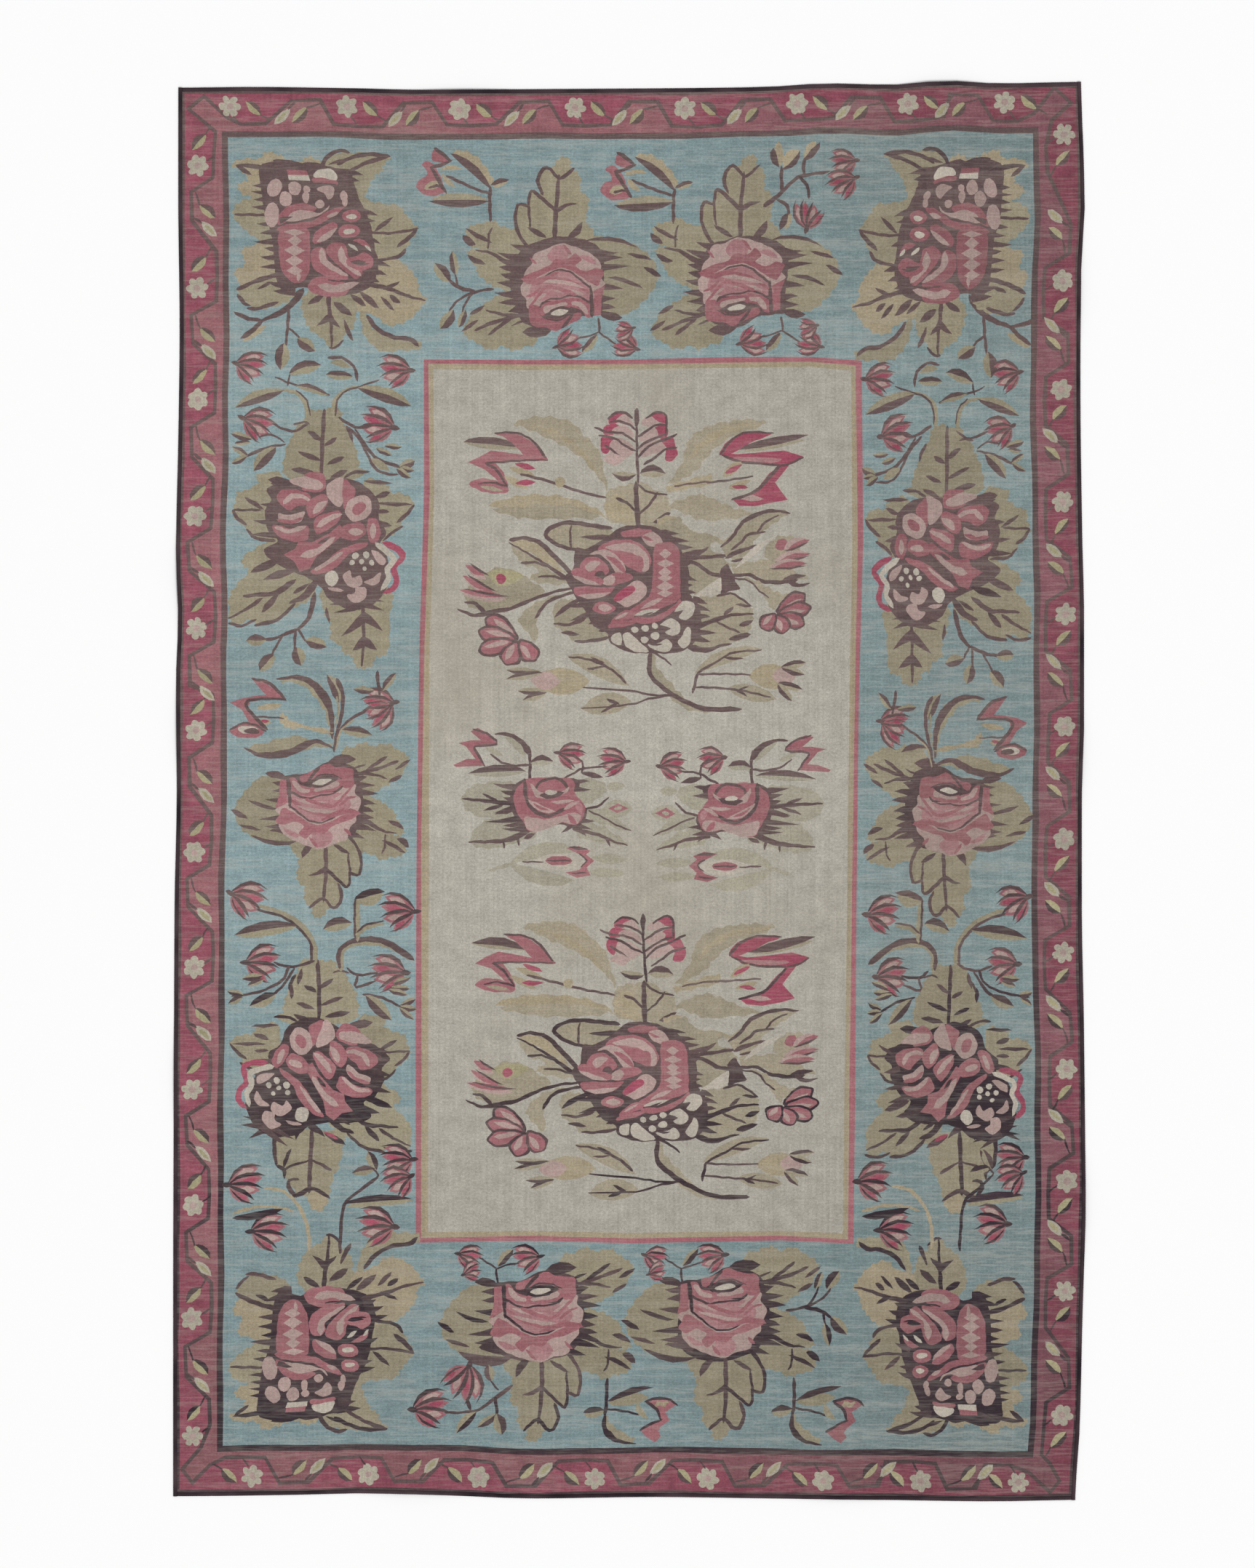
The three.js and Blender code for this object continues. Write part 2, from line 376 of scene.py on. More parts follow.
def rose(d, petals, fold=24):
    """A full rose on barbed khaki leaves with a long leaf below. Its petals have a brush of their own, and
    fold is how broad the dark fold of its left leaf is."""
    d.form("khaki", -82, 66, -140, 66, -165, 47, -188, 20, -200, -10, -186, -44, -162, -64, -120, -81,
            -58, -78, -45, -10)
    d.form("khaki", 40, 120, 68, 136, 92, 145, 108, 136, 138, 142, 160, 128, 180, 116, 186, 100, 174, 74,
            158, 58, 130, 40, 104, 28, 70, 30)
    d.form("khaki", 82, 18, 120, 16, 138, 6, 158, -10, 164, -26, 177, -44, 180, -56, 160, -62, 120, -68,
            75, -60)
    d.form("khaki", 60, -62, 100, -58, 140, -60, 174, -66, 184, -90, 174, -106, 152, -110, 130, -118,
            106, -106, 76, -100)
    d.form("khaki", -52, -70, -76, -84, -64, -106, -56, -118, -60, -146, -60, -166, -44, -180, -46, -204,
            -34, -220, -26, -222, -28, -236, -15, -244, 0, -236, 14, -218, 32, -218, 38, -196, 32, -174,
            54, -176, 58, -152, 80, -150, 82, -106, 58, -66)
    d.form("brown", -90, 68, -70, 74, -32, 78, 10, 100, 68, 88, 82, 50, 92, 10, 86, -30, 66, -66, 34, -78,
            0, -86, -56, -78, -90, -54, -94, -10, -90, 30)
    d.spikes(17, (-82, 56, -118, 56), (-82, 42, -116, 38), (-82, 16, -132, 18), (-82, -20, -146, -28),
            (-82, -38, -132, -44), (-70, -54, -116, -48))
    d.spikes(19, (74, 58, 98, 66), (72, 44, 118, 47), (76, 30, 125, 27), (82, 8, 120, 5), (84, -8, 114, -12),
            (82, -24, 116, -27), (70, -44, 120, -56), (52, -62, 94, -72))
    d.blades("brown", (-170, 16, -100, -3, 9, -4), (-206, -6, -170, -26, 11), (-188, -40, -138, -52, 8),
            (-162, -62, -52, -74, fold, -13), (-122, -52, -60, -68, fold - 2, 6), (-130, 75, -82, 66, 17, 3),
            (8, 94, 72, 107, 24, 4))
    d.stems("brown", (9, 4, 72, 74, 108, 72, 140, 63), (8, 7, 84, 76, 116, 84, 140, 92, 162, 101),
            (7, 8, 96, 82, 116, 96, 135, 110))
    d.blades("brown", (158, 82, 191, 103, 9), (144, 53, 175, 70, 9), (62, 82, 94, 95, 5))
    d.stem("brown", 14, 3, 76, -30, 104, -38, 130, -53, 162, -58)
    d.blades("brown", (144, -32, 180, -48, 11, 3), (164, -68, 190, -88, 14, 3), (130, -74, 183, -101, 9, 2))
    d.stems("brown", (5, 4, 138, -62, 136, -90, 130, -102), (10, 7, 4, -82, 3, -140, -3, -206),
            (6, 8, -32, -222, -19, -210, -3, -200, 13, -218, 27, -220, 38, -196, 30, -172), (12, 3, 2, -137,
            -16, -148, -35, -152), (8, 5, 2, -136, 28, -160, 50, -176, 56, -150, 53, -108), (6, 8, 55, -146,
            77, -150, 82, -114, 70, -84, 56, -66))
    d.blades("brown", (-20, -80, -49, -115, 15, -5), (20, -84, 58, -107, 10))
    rose_petals(petals)


def rose_petals(d):
    """The petals of the full rose: a pale body with rosy folds, and a cream eye under a rosy brow."""
    d.form("pale", -101, 0, -88, -16, -92, -38, -76, -58, -54, -70, -26, -81, 2, -87, 30, -76, 58, -68,
            64, -46, 79, -30, 81, -12, 89, 4, 88, 20, 77, 32, 77, 50, 54, 50, 30, 32, -70, 34, -78, 14)
    d.area("rosy", [-90, 64, -76, 66, -73, 16, -82, 10, -100, 4, -92, 30])
    d.form("blush", -70, 34, 30, 34, 60, 26, 68, 6, 50, -12, 0, -28, -34, -20, -66, 6)
    d.form("blush", -16, -50, 12, -46, 28, -62, 10, -82, -16, -78)
    d.form("rosy", -82, 4, -60, -6, -36, -22, -10, -34, 20, -30, 50, -16, 82, -6, 82, -18, 50, -32, 24, -40,
            8, -54, -18, -52, -34, -64, -48, -50, -36, -36, -60, -26, -82, -34, -98, -26, -92, -12)
    d.blade("rosy", -26, -60, -6, -84, 8)
    d.blade("blush", -82, -40, -42, -58, 12, -4)
    d.blades("pale", (-56, 24, 14, 14, 9, -4), (-30, 4, 40, -6, 9, -5), (30, 18, 68, 42, 10, -3))
    d.form("rosy", -46, 72, -26, 79, -8, 88, 12, 97, 34, 90, 68, 86, 73, 65, 72, 46, 50, 44, 42, 64, 16, 70,
            -16, 66, -42, 58)
    d.form("rosy", -70, 66, -56, 68, -46, 54, -24, 47, -21, 30, -44, 32, -70, 42)
    d.form("pale", -63, 62, -54, 62, -42, 48, -25, 43, -26, 36, -46, 38, -58, 48)
    d.form("rosy", -20, 50, 20, 52, 42, 64, 46, 44, 24, 36, -18, 32)
    d.form("pale", -14, 44, 16, 50, 36, 60, 40, 48, 18, 42, -10, 38)
    d.form("brown", -26, 52, -10, 66, 16, 72, 30, 66, 22, 52, -6, 46)
    d.form("cream", -18, 54, -4, 63, 16, 65, 24, 60, 4, 52)
    d.stems("brown", (5, 3.0, -46, 58, -26, 54, -8, 70, 20, 74, 46, 65), (5, 7, -30, 56, -18, 74, -4, 88),
            (5, 3.0, -74, 44, -52, 32, -30, 24, 0, 29, 30, 32, 47, 46), (9, 7, -71, 66, -70, 40, -68, 8),
            (5, 3.0, -70, 10, -46, -8, -24, -25, 2, -30, 26, -23, 42, -10))
    d.stems("rosy", (7, 5, -64, 20, -38, 2, -10, -10, 24, -14, 52, -2), (9, 5, -32, 22, 0, 10, 30, 5, 52, 26,
            70, 46), (6, 12, 4, -24, 30, -16, 60, -8, 82, -12), (6, 5, 44, 4, 62, 20, 76, 24))
    d.blade("rosy", 52, -44, 68, -60, 7)
    d.blade("pale", -56, 10, 24, -6, 8, -4)


def tulip(d):
    """A tulip on a leafy stem beside the lower rose: a zigzag crown between two long leaves."""
    d.stem("brown", 7, 7, -4, 62, -4, 18, -7, -8)
    d.blade("khaki", 0, 16, 80, 26, 26, 2)
    d.blade("brown", -2, 18, 90, 46, 13, 6)
    d.blade("khaki", -50, -10, -8, 0, 18)
    d.blade("brown", -52, -6, -6, 2, 11, 5)
    d.form("khaki", -4, -4, 2, -22, 24, -40, 52, -58, 32, -66, 4, -54, -10, -32)
    d.stems("brown", (5, 14, -6, -2, -9, -28, -2, -48), (15, 3, -4, -40, 14, -58, 52, -67), (5, 4, -2, 4,
            30, 0, 66, -10))
    d.blade("khaki", 56, 16, 80, -18, 12, -5)
    d.area("rosy", [76, 18, 100, 22, 120, 19, 133, 11, 111, -4, 120, -22, 102, -36, 97, -43, 102, -54,
            90, -65, 74, -54, 62, -40, 86, -28, 104, -21, 99, -6, 88, 8])
    d.form("tan", 90, 11, 102, 18, 118, 14, 106, 6)
    d.stems("brown", (6, 5, 74, 18, 100, 24, 122, 20, 134, 10), (6, 5, 76, 16, 96, 0, 102, -20),
            (6, 4, 62, -40, 86, -27, 104, -20))


def upper_tulip(d):
    """A tulip above the upper rose: an angular crown beside three leaves."""
    d.stem("brown", 7, 7, 65, -24, 63, -50, 63, -88)
    d.form("tan", -14, 44, 10, 50, 38, 36, 62, 8, 72, -16, 60, -18, 40, 8, 14, 26)
    d.blade("brown", -16, 44, 68, -30, 17, 6)
    d.blades("tan", (-38, 10, 8, 12, 10, 3), (-34, 2, -6, -26, 11, -2))
    d.stem("brown", 6, 6, -22, -3, 10, -18, 40, -30, 64, -36)
    d.blade("khaki", -56, -49, 62, -48, 20, 2)
    d.blades("brown", (-60, -52, 64, -50, 16, -8), (66, -20, 102, -8, 11, 2))
    d.blade("tan", 70, -24, 100, -12, 6)
    d.form("rosy", -56, 36, -48, 52, -32, 42, -22, 30, -32, 24, -50, 28)
    d.form("rosy", -76, 22, -64, 29, -50, 22, -42, 8, -34, -10, -26, -34, -42, -41, -64, -41, -82, -28,
            -87, -18, -78, -6, -64, 0, -66, 12)
    d.blade("tan", -70, -26, -34, -18, 18, 2)
    d.stems("brown", (7, 5, -58, -25, -44, -22, -34, -24), (8, 6, -48, 53, -32, 42, -17, 28), (8, 6, -56, 16,
            -38, 19, -16, 28), (7, 8, -56, 14, -46, 0, -36, -18, -26, -35))


def upper_sprig(d):
    """The branch with two flower heads and four leaves at the upper right."""
    d.stems("brown", (9, 6, -82, -30, -54, -8, -28, 18, -5, 32, 48, 40), (7, 7, -47, -2, -48, 24, -48, 46))
    d.blades("tan", (-51, 48, -56, 98, 20), (-44, 48, -12, 84, 22, 3))
    d.blades("brown", (-54, 46, -66, 84, 15, 4), (-48, 43, -10, 82, 11, -9))
    d.stem("brown", 7, 7, -2, 34, -3, 56, 2, 68)
    d.blade("tan", 0, 66, 24, 100, 16, 3)
    d.blade("brown", -2, 62, 32, 98, 14, -3)
    d.stems("brown", (7, 7, -10, 28, 3, 14, 6, -10), (7, 7, -56, -18, -38, -28, -35, -50))
    d.blade("tan", -32, -44, -42, -78, 14)
    d.blade("brown", -38, -44, -53, -78, 13)
    head(d, 2, -74, 92, 0.95)
    head(d, 102, 58, 178, 0.85, -1)
    head(d, 100, 22, 192, 0.95, -1)


def fuchsia(d):
    """A drooping flower head: petals fan out from a calyx at nothing along +X, rosy at the root and pale at
    the tip, with outlines between them."""
    petals = [(32, -33, 17, -3, "deep"), (51, -17, 20, -2, "pale"), (58, 3, 20, 2, "deep"),
              (54, 20, 22, 7, "pale")]
    for x1, y1, width, bend, fold in petals:
        d.blade("rosy", 0, 0, x1, y1, width, bend)
        d.blade(fold, 14, y1 * 0.3 + bend * 0.5, x1 * 0.86, y1 * 0.86 + bend * 0.3, width * 0.55, bend * 0.3)
    for x1, y1, width, bend, _ in petals:
        d.blade("brown", -3, 2, x1 + 7, y1 + 1, 6.5, bend + width * 0.4)
    d.blades("brown", (2, -4, 38, -38, 4, -6), (-12, 5, 8, 1, 9))


def head(d, x, y, turn, size=1.0, mirror=1):
    """One drooping flower head with its calyx at a point of the motif that d paints."""
    inner = Brush(d.areas, np.array([x, y]) @ d.matrix.T + d.to)
    c, s = math.cos(math.radians(turn)), math.sin(math.radians(turn))
    inner.matrix = d.matrix @ np.array([[c, -s], [s, c]]) @ np.diag((1, mirror)) * size
    fuchsia(inner)


def small_pair(d):
    """Two small flower heads and a leaf on a short stem above the lower rose."""
    d.stems("brown", (6, 4, 1, -31, -1, -5), (4, 3, -1, -5, -19, 7, -37, 19), (4, 3, 1, -5, 27, 3, 59, 9))
    d.leaf(3, -1, 35, 34, 17, 2, -1)
    head(d, -75, 23, -8, 0.8)
    head(d, -65, -17, 28, 0.62)
    head(d, 85, 19, 184, 0.9, -1)


def double_sprig(d):
    """A branch with two flower heads and three leaves at the lower left."""
    d.stems("brown", (8, 5, 82, 28, 50, 4, 18, -20, -14, -26, -48, -26), (7, 6, 2, -20, -6, 4, -8, 30),
            (7, 6, 50, 4, 54, -30), (4, 3, 56, 20, 40, 40))
    d.leaves((42, 38, 37, 72, 20, 0, 1), (14, -24, -25, -68, 20, -3, 1), (52, -30, 16, -56, 17, 0, 1),
            (54, -28, 66, -70, 25, 0, 1))
    head(d, -4, 70, 262, 1.25)
    head(d, -108, -20, 10, 1.2)


def bud_sprig(d):
    """A forked twig with four buds at the lower right."""
    d.stems("brown", (6, 5, -78, 0, -40, 6, -6, 22, 8, 40), (5, 4, -38, 6, -24, 24, -16, 44), (8, 6, -40, 4,
            -10, -4, 12, -20), (5, 4, -6, -6, 0, -32))
    d.leaves((0, 40, 26, 78, 24, 0, 1), (-22, 40, -10, 76, 15, 0, 1), (10, -16, 42, -52, 24, 0, -1),
            (-2, -28, 7, -76, 17, 0, 1))


def corner_flower(d):
    """The corner's great flower: a zigzag petal, scrolled petals and seeds in a dark barbed ring."""
    d.form("tan", -137, 150, -113, 162, -81, 162, -69, 176, -43, 172, -21, 160, -1, 158, 15, 166, 33, 160,
            55, 130, 35, 50, -45, 50, -77, 80, -109, 86, -127, 100, -121, 112, -105, 118, -113, 134)
    d.form("khaki", -35, 92, -95, 84, -123, 76, -138, 60, -133, 40, -113, 20, -89, 4, -35, -8)
    d.form("tan", -25, -4, -89, -8, -119, -16, -117, -32, -113, -48, -131, -56, -127, -76, -113, -88,
            -35, -94)
    d.form("khaki", -35, -70, -85, -78, -121, -90, -125, -104, -113, -116, -103, -130, -80, -136, -45, -130,
            -21, -118, -13, -94)
    d.form("khaki", 39, 144, 55, 164, 85, 176, 125, 174, 177, 170, 163, 156, 159, 142, 145, 132, 135, 114,
            129, 96, 113, 76, 55, 66)
    d.form("khaki", 99, 72, 120, 84, 155, 76, 193, 72, 205, 56, 217, 42, 231, 22, 217, 0, 207, -20, 181, -36,
            143, -42, 115, -10)
    d.form("tan", 125, -38, 185, -38, 207, -50, 221, -64, 233, -82, 235, -100, 251, -115, 241, -128,
            225, -150, 199, -166, 173, -168, 151, -150, 113, -140, 89, -108, 110, -80)
    d.form("khaki", 89, -100, 110, -130, 109, -156, 103, -176, 85, -190, 71, -210, 59, -215, 43, -196,
            19, -182, 7, -164, -1, -140, 1, -116, 25, -98)
    d.form("khaki", 119, -138, 135, -156, 151, -178, 185, -192, 235, -197, 239, -216, 205, -218, 165, -220,
            139, -202, 123, -176)
    d.form("brown", -80, 146, -49, 158, -9, 152, 23, 156, 59, 146, 95, 138, 109, 100, 123, 70, 135, 46,
            143, 18, 149, -20, 155, -52, 143, -90, 110, -106, 55, -110, 5, -92, -35, -102, -51, -70, -57, 0,
            -73, 50, -79, 100)
    d.spikes(15, (-55, 110, -98, 108), (-53, 96, -100, 95), (-57, 82, -97, 80), (-55, 66, -101, 66),
            (-50, 36, -91, 32), (-45, 20, -85, 15), (-45, 0, -97, -2), (-43, -16, -75, -14),
            (-45, -32, -83, -32), (-35, -50, -83, -51), (-35, 128, -85, 131), (-25, 140, -67, 150))
    d.spikes(16, (85, 136, 125, 132), (85, 122, 115, 120), (90, 106, 110, 103), (115, 60, 155, 50),
            (115, 42, 150, 38), (130, 2, 160, -7), (140, -44, 179, -53), (140, -64, 171, -70),
            (135, -80, 157, -84))
    d.blades("brown", (-131, 150, -43, 136, 9, 3), (-129, 150, -97, 128, 9), (-53, 160, 15, 146, 18, -2))
    d.stems("brown", (8, 7, 39, 142, 51, 164, 73, 178, 93, 176), (7, 9, 73, 152, 95, 164, 131, 174,
            171, 171), (9, 7, 171, 171, 131, 158, 93, 138))
    d.blade("brown", 53, 150, 95, 164, 6)
    d.stems("brown", (5, 6, -133, 50, -95, 50, -60, 50), (8, 10, -125, -94, -97, -82, -65, -72, -35, -66))
    d.blade("brown", -87, -95, -57, -82, 8)
    d.spikes(18, (-25, -90, -69, -82), (-20, -102, -57, -100))
    d.stems("brown", (8, 5, -125, -106, -113, -122, -103, -128), (7, 8, -105, -134, -83, -134, -50, -124),
            (10, 5, 53, -108, 55, -140, 58, -160, 61, -210))
    d.barb("brown", 55, -152, 27, -171, 16)
    d.blades("brown", (11, -128, 45, -108, 12), (63, -122, 101, -149, 15))
    d.barb("brown", 57, -158, 78, -173, 14)
    d.stems("brown", (6, 10, 86, -160, 93, -178, 101, -192), (5, 5, 57, -212, 67, -213, 83, -199),
            (8, 9, 133, -150, 155, -176, 189, -192, 219, -195, 233, -206), (5, 6, 135, 16, 175, 14, 230, 23))
    d.blade("brown", 147, 18, 184, 48, 10)
    d.stems("brown", (6, 10, 230, 22, 215, 6, 195, -10), (7, 6, 207, -18, 191, -34, 149, -42),
            (10, 4, 130, -88, 175, -97, 215, -110, 247, -116))
    d.blades("brown", (163, -100, 198, -82, 8), (177, -110, 199, -125, 10), (117, -104, 157, -136, 14),
            (99, -108, 131, -132, 11), (159, -112, 187, -140, 9))
    corner_petals(d)


def corner_branch(d):
    """The leafy branch under each upper corner's flower."""
    d.stems("brown", (16, 8, 0, -100, -17, -124, -45, -146, -79, -159), (7, 9, -79, -159, -105, -154,
            -128, -142))
    d.blade("tan", -71, -170, -117, -200, 14)
    d.stems("brown", (8, 10, -79, -159, -95, -176, -115, -191), (7, 5, -27, -138, -29, -175, -32, -216),
            (5, 4, -29, -176, -13, -188, -3, -200))
    d.leaves((-9, -198, 27, -221, 24, 2, -1), (-35, -206, -39, -258, 28, 0, -1))


def corner_petals(d):
    """The corner flower's petals and seeds."""
    d.area("rosy", [-26, 142, 13, 140, 17, 121, -23, 121])
    d.area("cream", [-25, 132, 16, 130, 18, 120, -23, 121])
    d.form("cream", 26, 128, 33, 140, 53, 143, 67, 136, 71, 120, 49, 122)
    d.form("rosy", 25, 126, 49, 124, 70, 119, 72, 112, 49, 116, 25, 117)
    d.ovals("pale", (-52, 105, 14, 19, -30), (-30, 84, 13, 15), (-12, 105, 13, 14), (12, 104, 8, 7),
            (10, 88, 7, 12), (38, 75, 9, 8), (85, 90, 7, 10, 15), (88, 77, 6, 9), (-59, 51, 15, 25, -6))
    d.form("pale", 31, 104, 49, 111, 65, 106, 65, 92, 55, 84, 45, 96)
    d.form("rosy", -47, 34, -41, 56, -21, 72, 5, 77, 31, 68, 23, 60, -5, 58, -27, 40)
    d.form("pale", -29, 40, -21, 56, 5, 64, 39, 58, 57, 71, 51, 60, 33, 52, 3, 44)
    d.barb("brown", -39, 42, -15, 50, 12)
    d.stem("rosy", 12, 14, -45, 24, -7, 32, 29, 38, 53, 52, 79, 64)
    d.blade("pale", 53, 50, 77, 57, 9)
    d.form("rosy", -43, 20, -5, 28, 15, 26, 20, -2, 19, -48, 11, -72, -5, -85, -25, -78, -39, -56, -44, -20)
    for y, half_x, half_y in [(19, 22, 7), (2, 15, 11), (-17, 22, 12), (-39, 19, 12), (-58, 17, 10)]:
        d.area("pale", [-12 - half_x, y, -12, y + half_y, -12 + half_x, y, -12, y - half_y])
    d.blade("pale", -5, -58, -5, -82, 8)
    d.form("rosy", 25, 8, 37, 26, 61, 37, 75, 34, 65, 14, 33, -4)
    d.blade("pale", 33, -1, 75, 28, 12, -2)
    d.oval("rosy", 102, 50, 19, 13)
    d.oval("cream", 102, 48, 10, 5)
    d.oval("rosy", 98, 19, 22, 14)
    d.oval("cream", 98, 18, 12, 6)
    d.form("rosy", 23, -18, 41, -10, 53, -20, 55, -38, 83, -60, 95, -78, 69, -76, 39, -64, 23, -46)
    d.stem("pale", 15, 7, 44, -18, 47, -38, 65, -54, 91, -70)
    d.form("rosy", 53, -14, 71, -2, 91, -10, 99, -36, 123, -64, 111, -78, 91, -64, 63, -36)
    d.stem("pale", 17, 10, 83, -20, 85, -36, 101, -54, 117, -69)
    d.form("rosy", 110, -32, 129, -26, 145, -38, 141, -56, 119, -62, 95, -50, 93, -38)
    d.blades("brown", (99, -42, 131, -44, 9, -3), (111, -50, 139, -48, 4))
    d.blade("cream", 97, -6, 117, -22, 7)
    d.blade("rosy", 105, 1, 141, -18, 11, 4)
    d.blade("cream", 129, -10, 141, -24, 6)
    d.form("rosy", 13, -92, 23, -76, 51, -70, 79, -80, 95, -94, 89, -108, 55, -112, 23, -104)
    d.stem("pale", 16, 14, 40, -90, 69, -96, 107, -88)
    d.stem("brown", 3, 3, 55, -78, 85, -82, 115, -80)


def side_leaves(d, flower):
    """The broad leaves round the side's great flower. The dark ground of the flower has the flower's own
    brush."""
    d.form("khaki", -45, 246, -35, 264, -15, 262, 9, 268, 29, 260, 31, 244, 41, 224, 51, 200, 61, 180,
            67, 150, 60, 126, -5, 110, -77, 130, -85, 152, -79, 188, -67, 212, -59, 234)
    d.form("khaki", -85, 132, -140, 134, -135, 118, -159, 104, -179, 98, -181, 80, -188, 62, -181, 45,
            -165, 30, -147, 10, -133, 0, -85, -2)
    d.form("khaki", -95, 0, -137, -12, -167, -34, -167, -50, -155, -60, -181, -90, -192, -110, -190, -148,
            -180, -162, -147, -154, -133, -166, -95, -156, -63, -130, -37, -116, -20, -90, -15, -50)
    d.blade("khaki", 39, 122, 83, 140, 20, 4)
    d.form("khaki", 75, 118, 105, 122, 123, 112, 129, 100, 155, 98, 173, 80, 161, 60, 149, 40, 135, 18,
            105, 0, 75, 20)
    d.stem("brown", 8, 8, -5, 263, -7, 200, -6, 125)
    d.blades("brown", (-36, 222, -7, 199, 11), (22, 206, -3, 190, 11), (-55, 181, -7, 159, 10),
            (39, 168, 3, 151, 10), (-68, 147, -17, 134, 13), (45, 141, 9, 122, 11))
    d.stems("brown", (7, 6, 39, 228, 47, 216, 52, 200), (5, 4, -63, 236, -45, 240, -35, 236))
    flower.form("brown", -117, 106, -77, 120, -35, 114, 5, 122, 55, 122, 87, 104, 105, 80, 105, 45, 121, 20,
            105, -8, 125, -30, 125, -76, 117, -104, 85, -132, 45, -134, 5, -112, -9, -90, -37, -70, -77, -56,
            -113, -38, -125, -18, -99, 0, -117, 20, -122, 60, -109, 82)
    flower.spikes(15, (-100, 12, -153, 12), (-100, 36, -147, 41), (-100, 72, -133, 74),
            (-85, 100, -119, 100), (-85, 112, -111, 118), (125, -100, 130, -101), (75, -98, 131, -103),
            (60, -114, 117, -122), (65, -124, 115, -139), (60, -118, 5, -123), (65, -128, 13, -141),
            (35, -108, 1, -104))
    d.blades("brown", (-95, -38, -153, -63, 16), (-59, -54, -127, -76, 15))
    d.stems("brown", (6, 12, -163, -108, -130, -105, -100, -102, -67, -78), (4, 8, -191, -150, -155, -132,
            -130, -114))
    d.blade("brown", -127, -140, -95, -104, 12)
    d.stems("brown", (7, 5, -191, -160, -165, -165, -139, -154), (8, 7, -137, -164, -95, -154, -63, -124))
    d.blade("brown", -67, -102, -33, -80, 9)
    d.stem("brown", 8, 16, -71, -120, -45, -108, -23, -80)
    d.blade("brown", -115, 126, -63, 116, 18)
    d.stem("brown", 5, 5, -185, 63, -157, 62, -131, 62)
    d.blade("brown", -163, 88, -123, 62, 9)
    d.stems("brown", (6, 8, -186, 62, -176, 45, -161, 34), (5, 8, -159, 22, -141, 4, -107, 0))
    d.blade("brown", 100, 78, 171, 77, 8)
    d.stem("brown", 6, 9, 172, 76, 161, 60, 144, 45)
    d.blades("brown", (81, 40, 131, 34, 14), (97, 62, 125, 62, 9), (97, 88, 127, 101, 11),
            (75, 120, 133, 118, 8))
    d.stems("brown", (6, 7, 39, 126, 60, 137, 83, 138), (7, 6, 150, 32, 131, 20, 117, 6))


def side_long_leaf(d):
    """The long leaf below the side's great flower, with barbs along its midrib."""
    d.form("khaki", -11, -98, -6, -130, -1, -150, 7, -164, 7, -194, 27, -208, 33, -224, 49, -228, 54, -244,
            70, -254, 91, -245, 97, -230, 115, -228, 125, -205, 127, -150, 135, -115, 127, -95, 95, -75,
            25, -70)
    d.stem("brown", 7, 6, 73, -128, 73, -170, 70, -246)
    for x0, y0, x1, y1 in [(71, -154, 28, -189), (75, -152, 113, -180), (71, -200, 49, -217),
                           (73, -200, 101, -218)]:
        d.barb("brown", x0, y0, x1, y1, 20)
    d.blade("brown", -1, -128, 5, -162, 7)


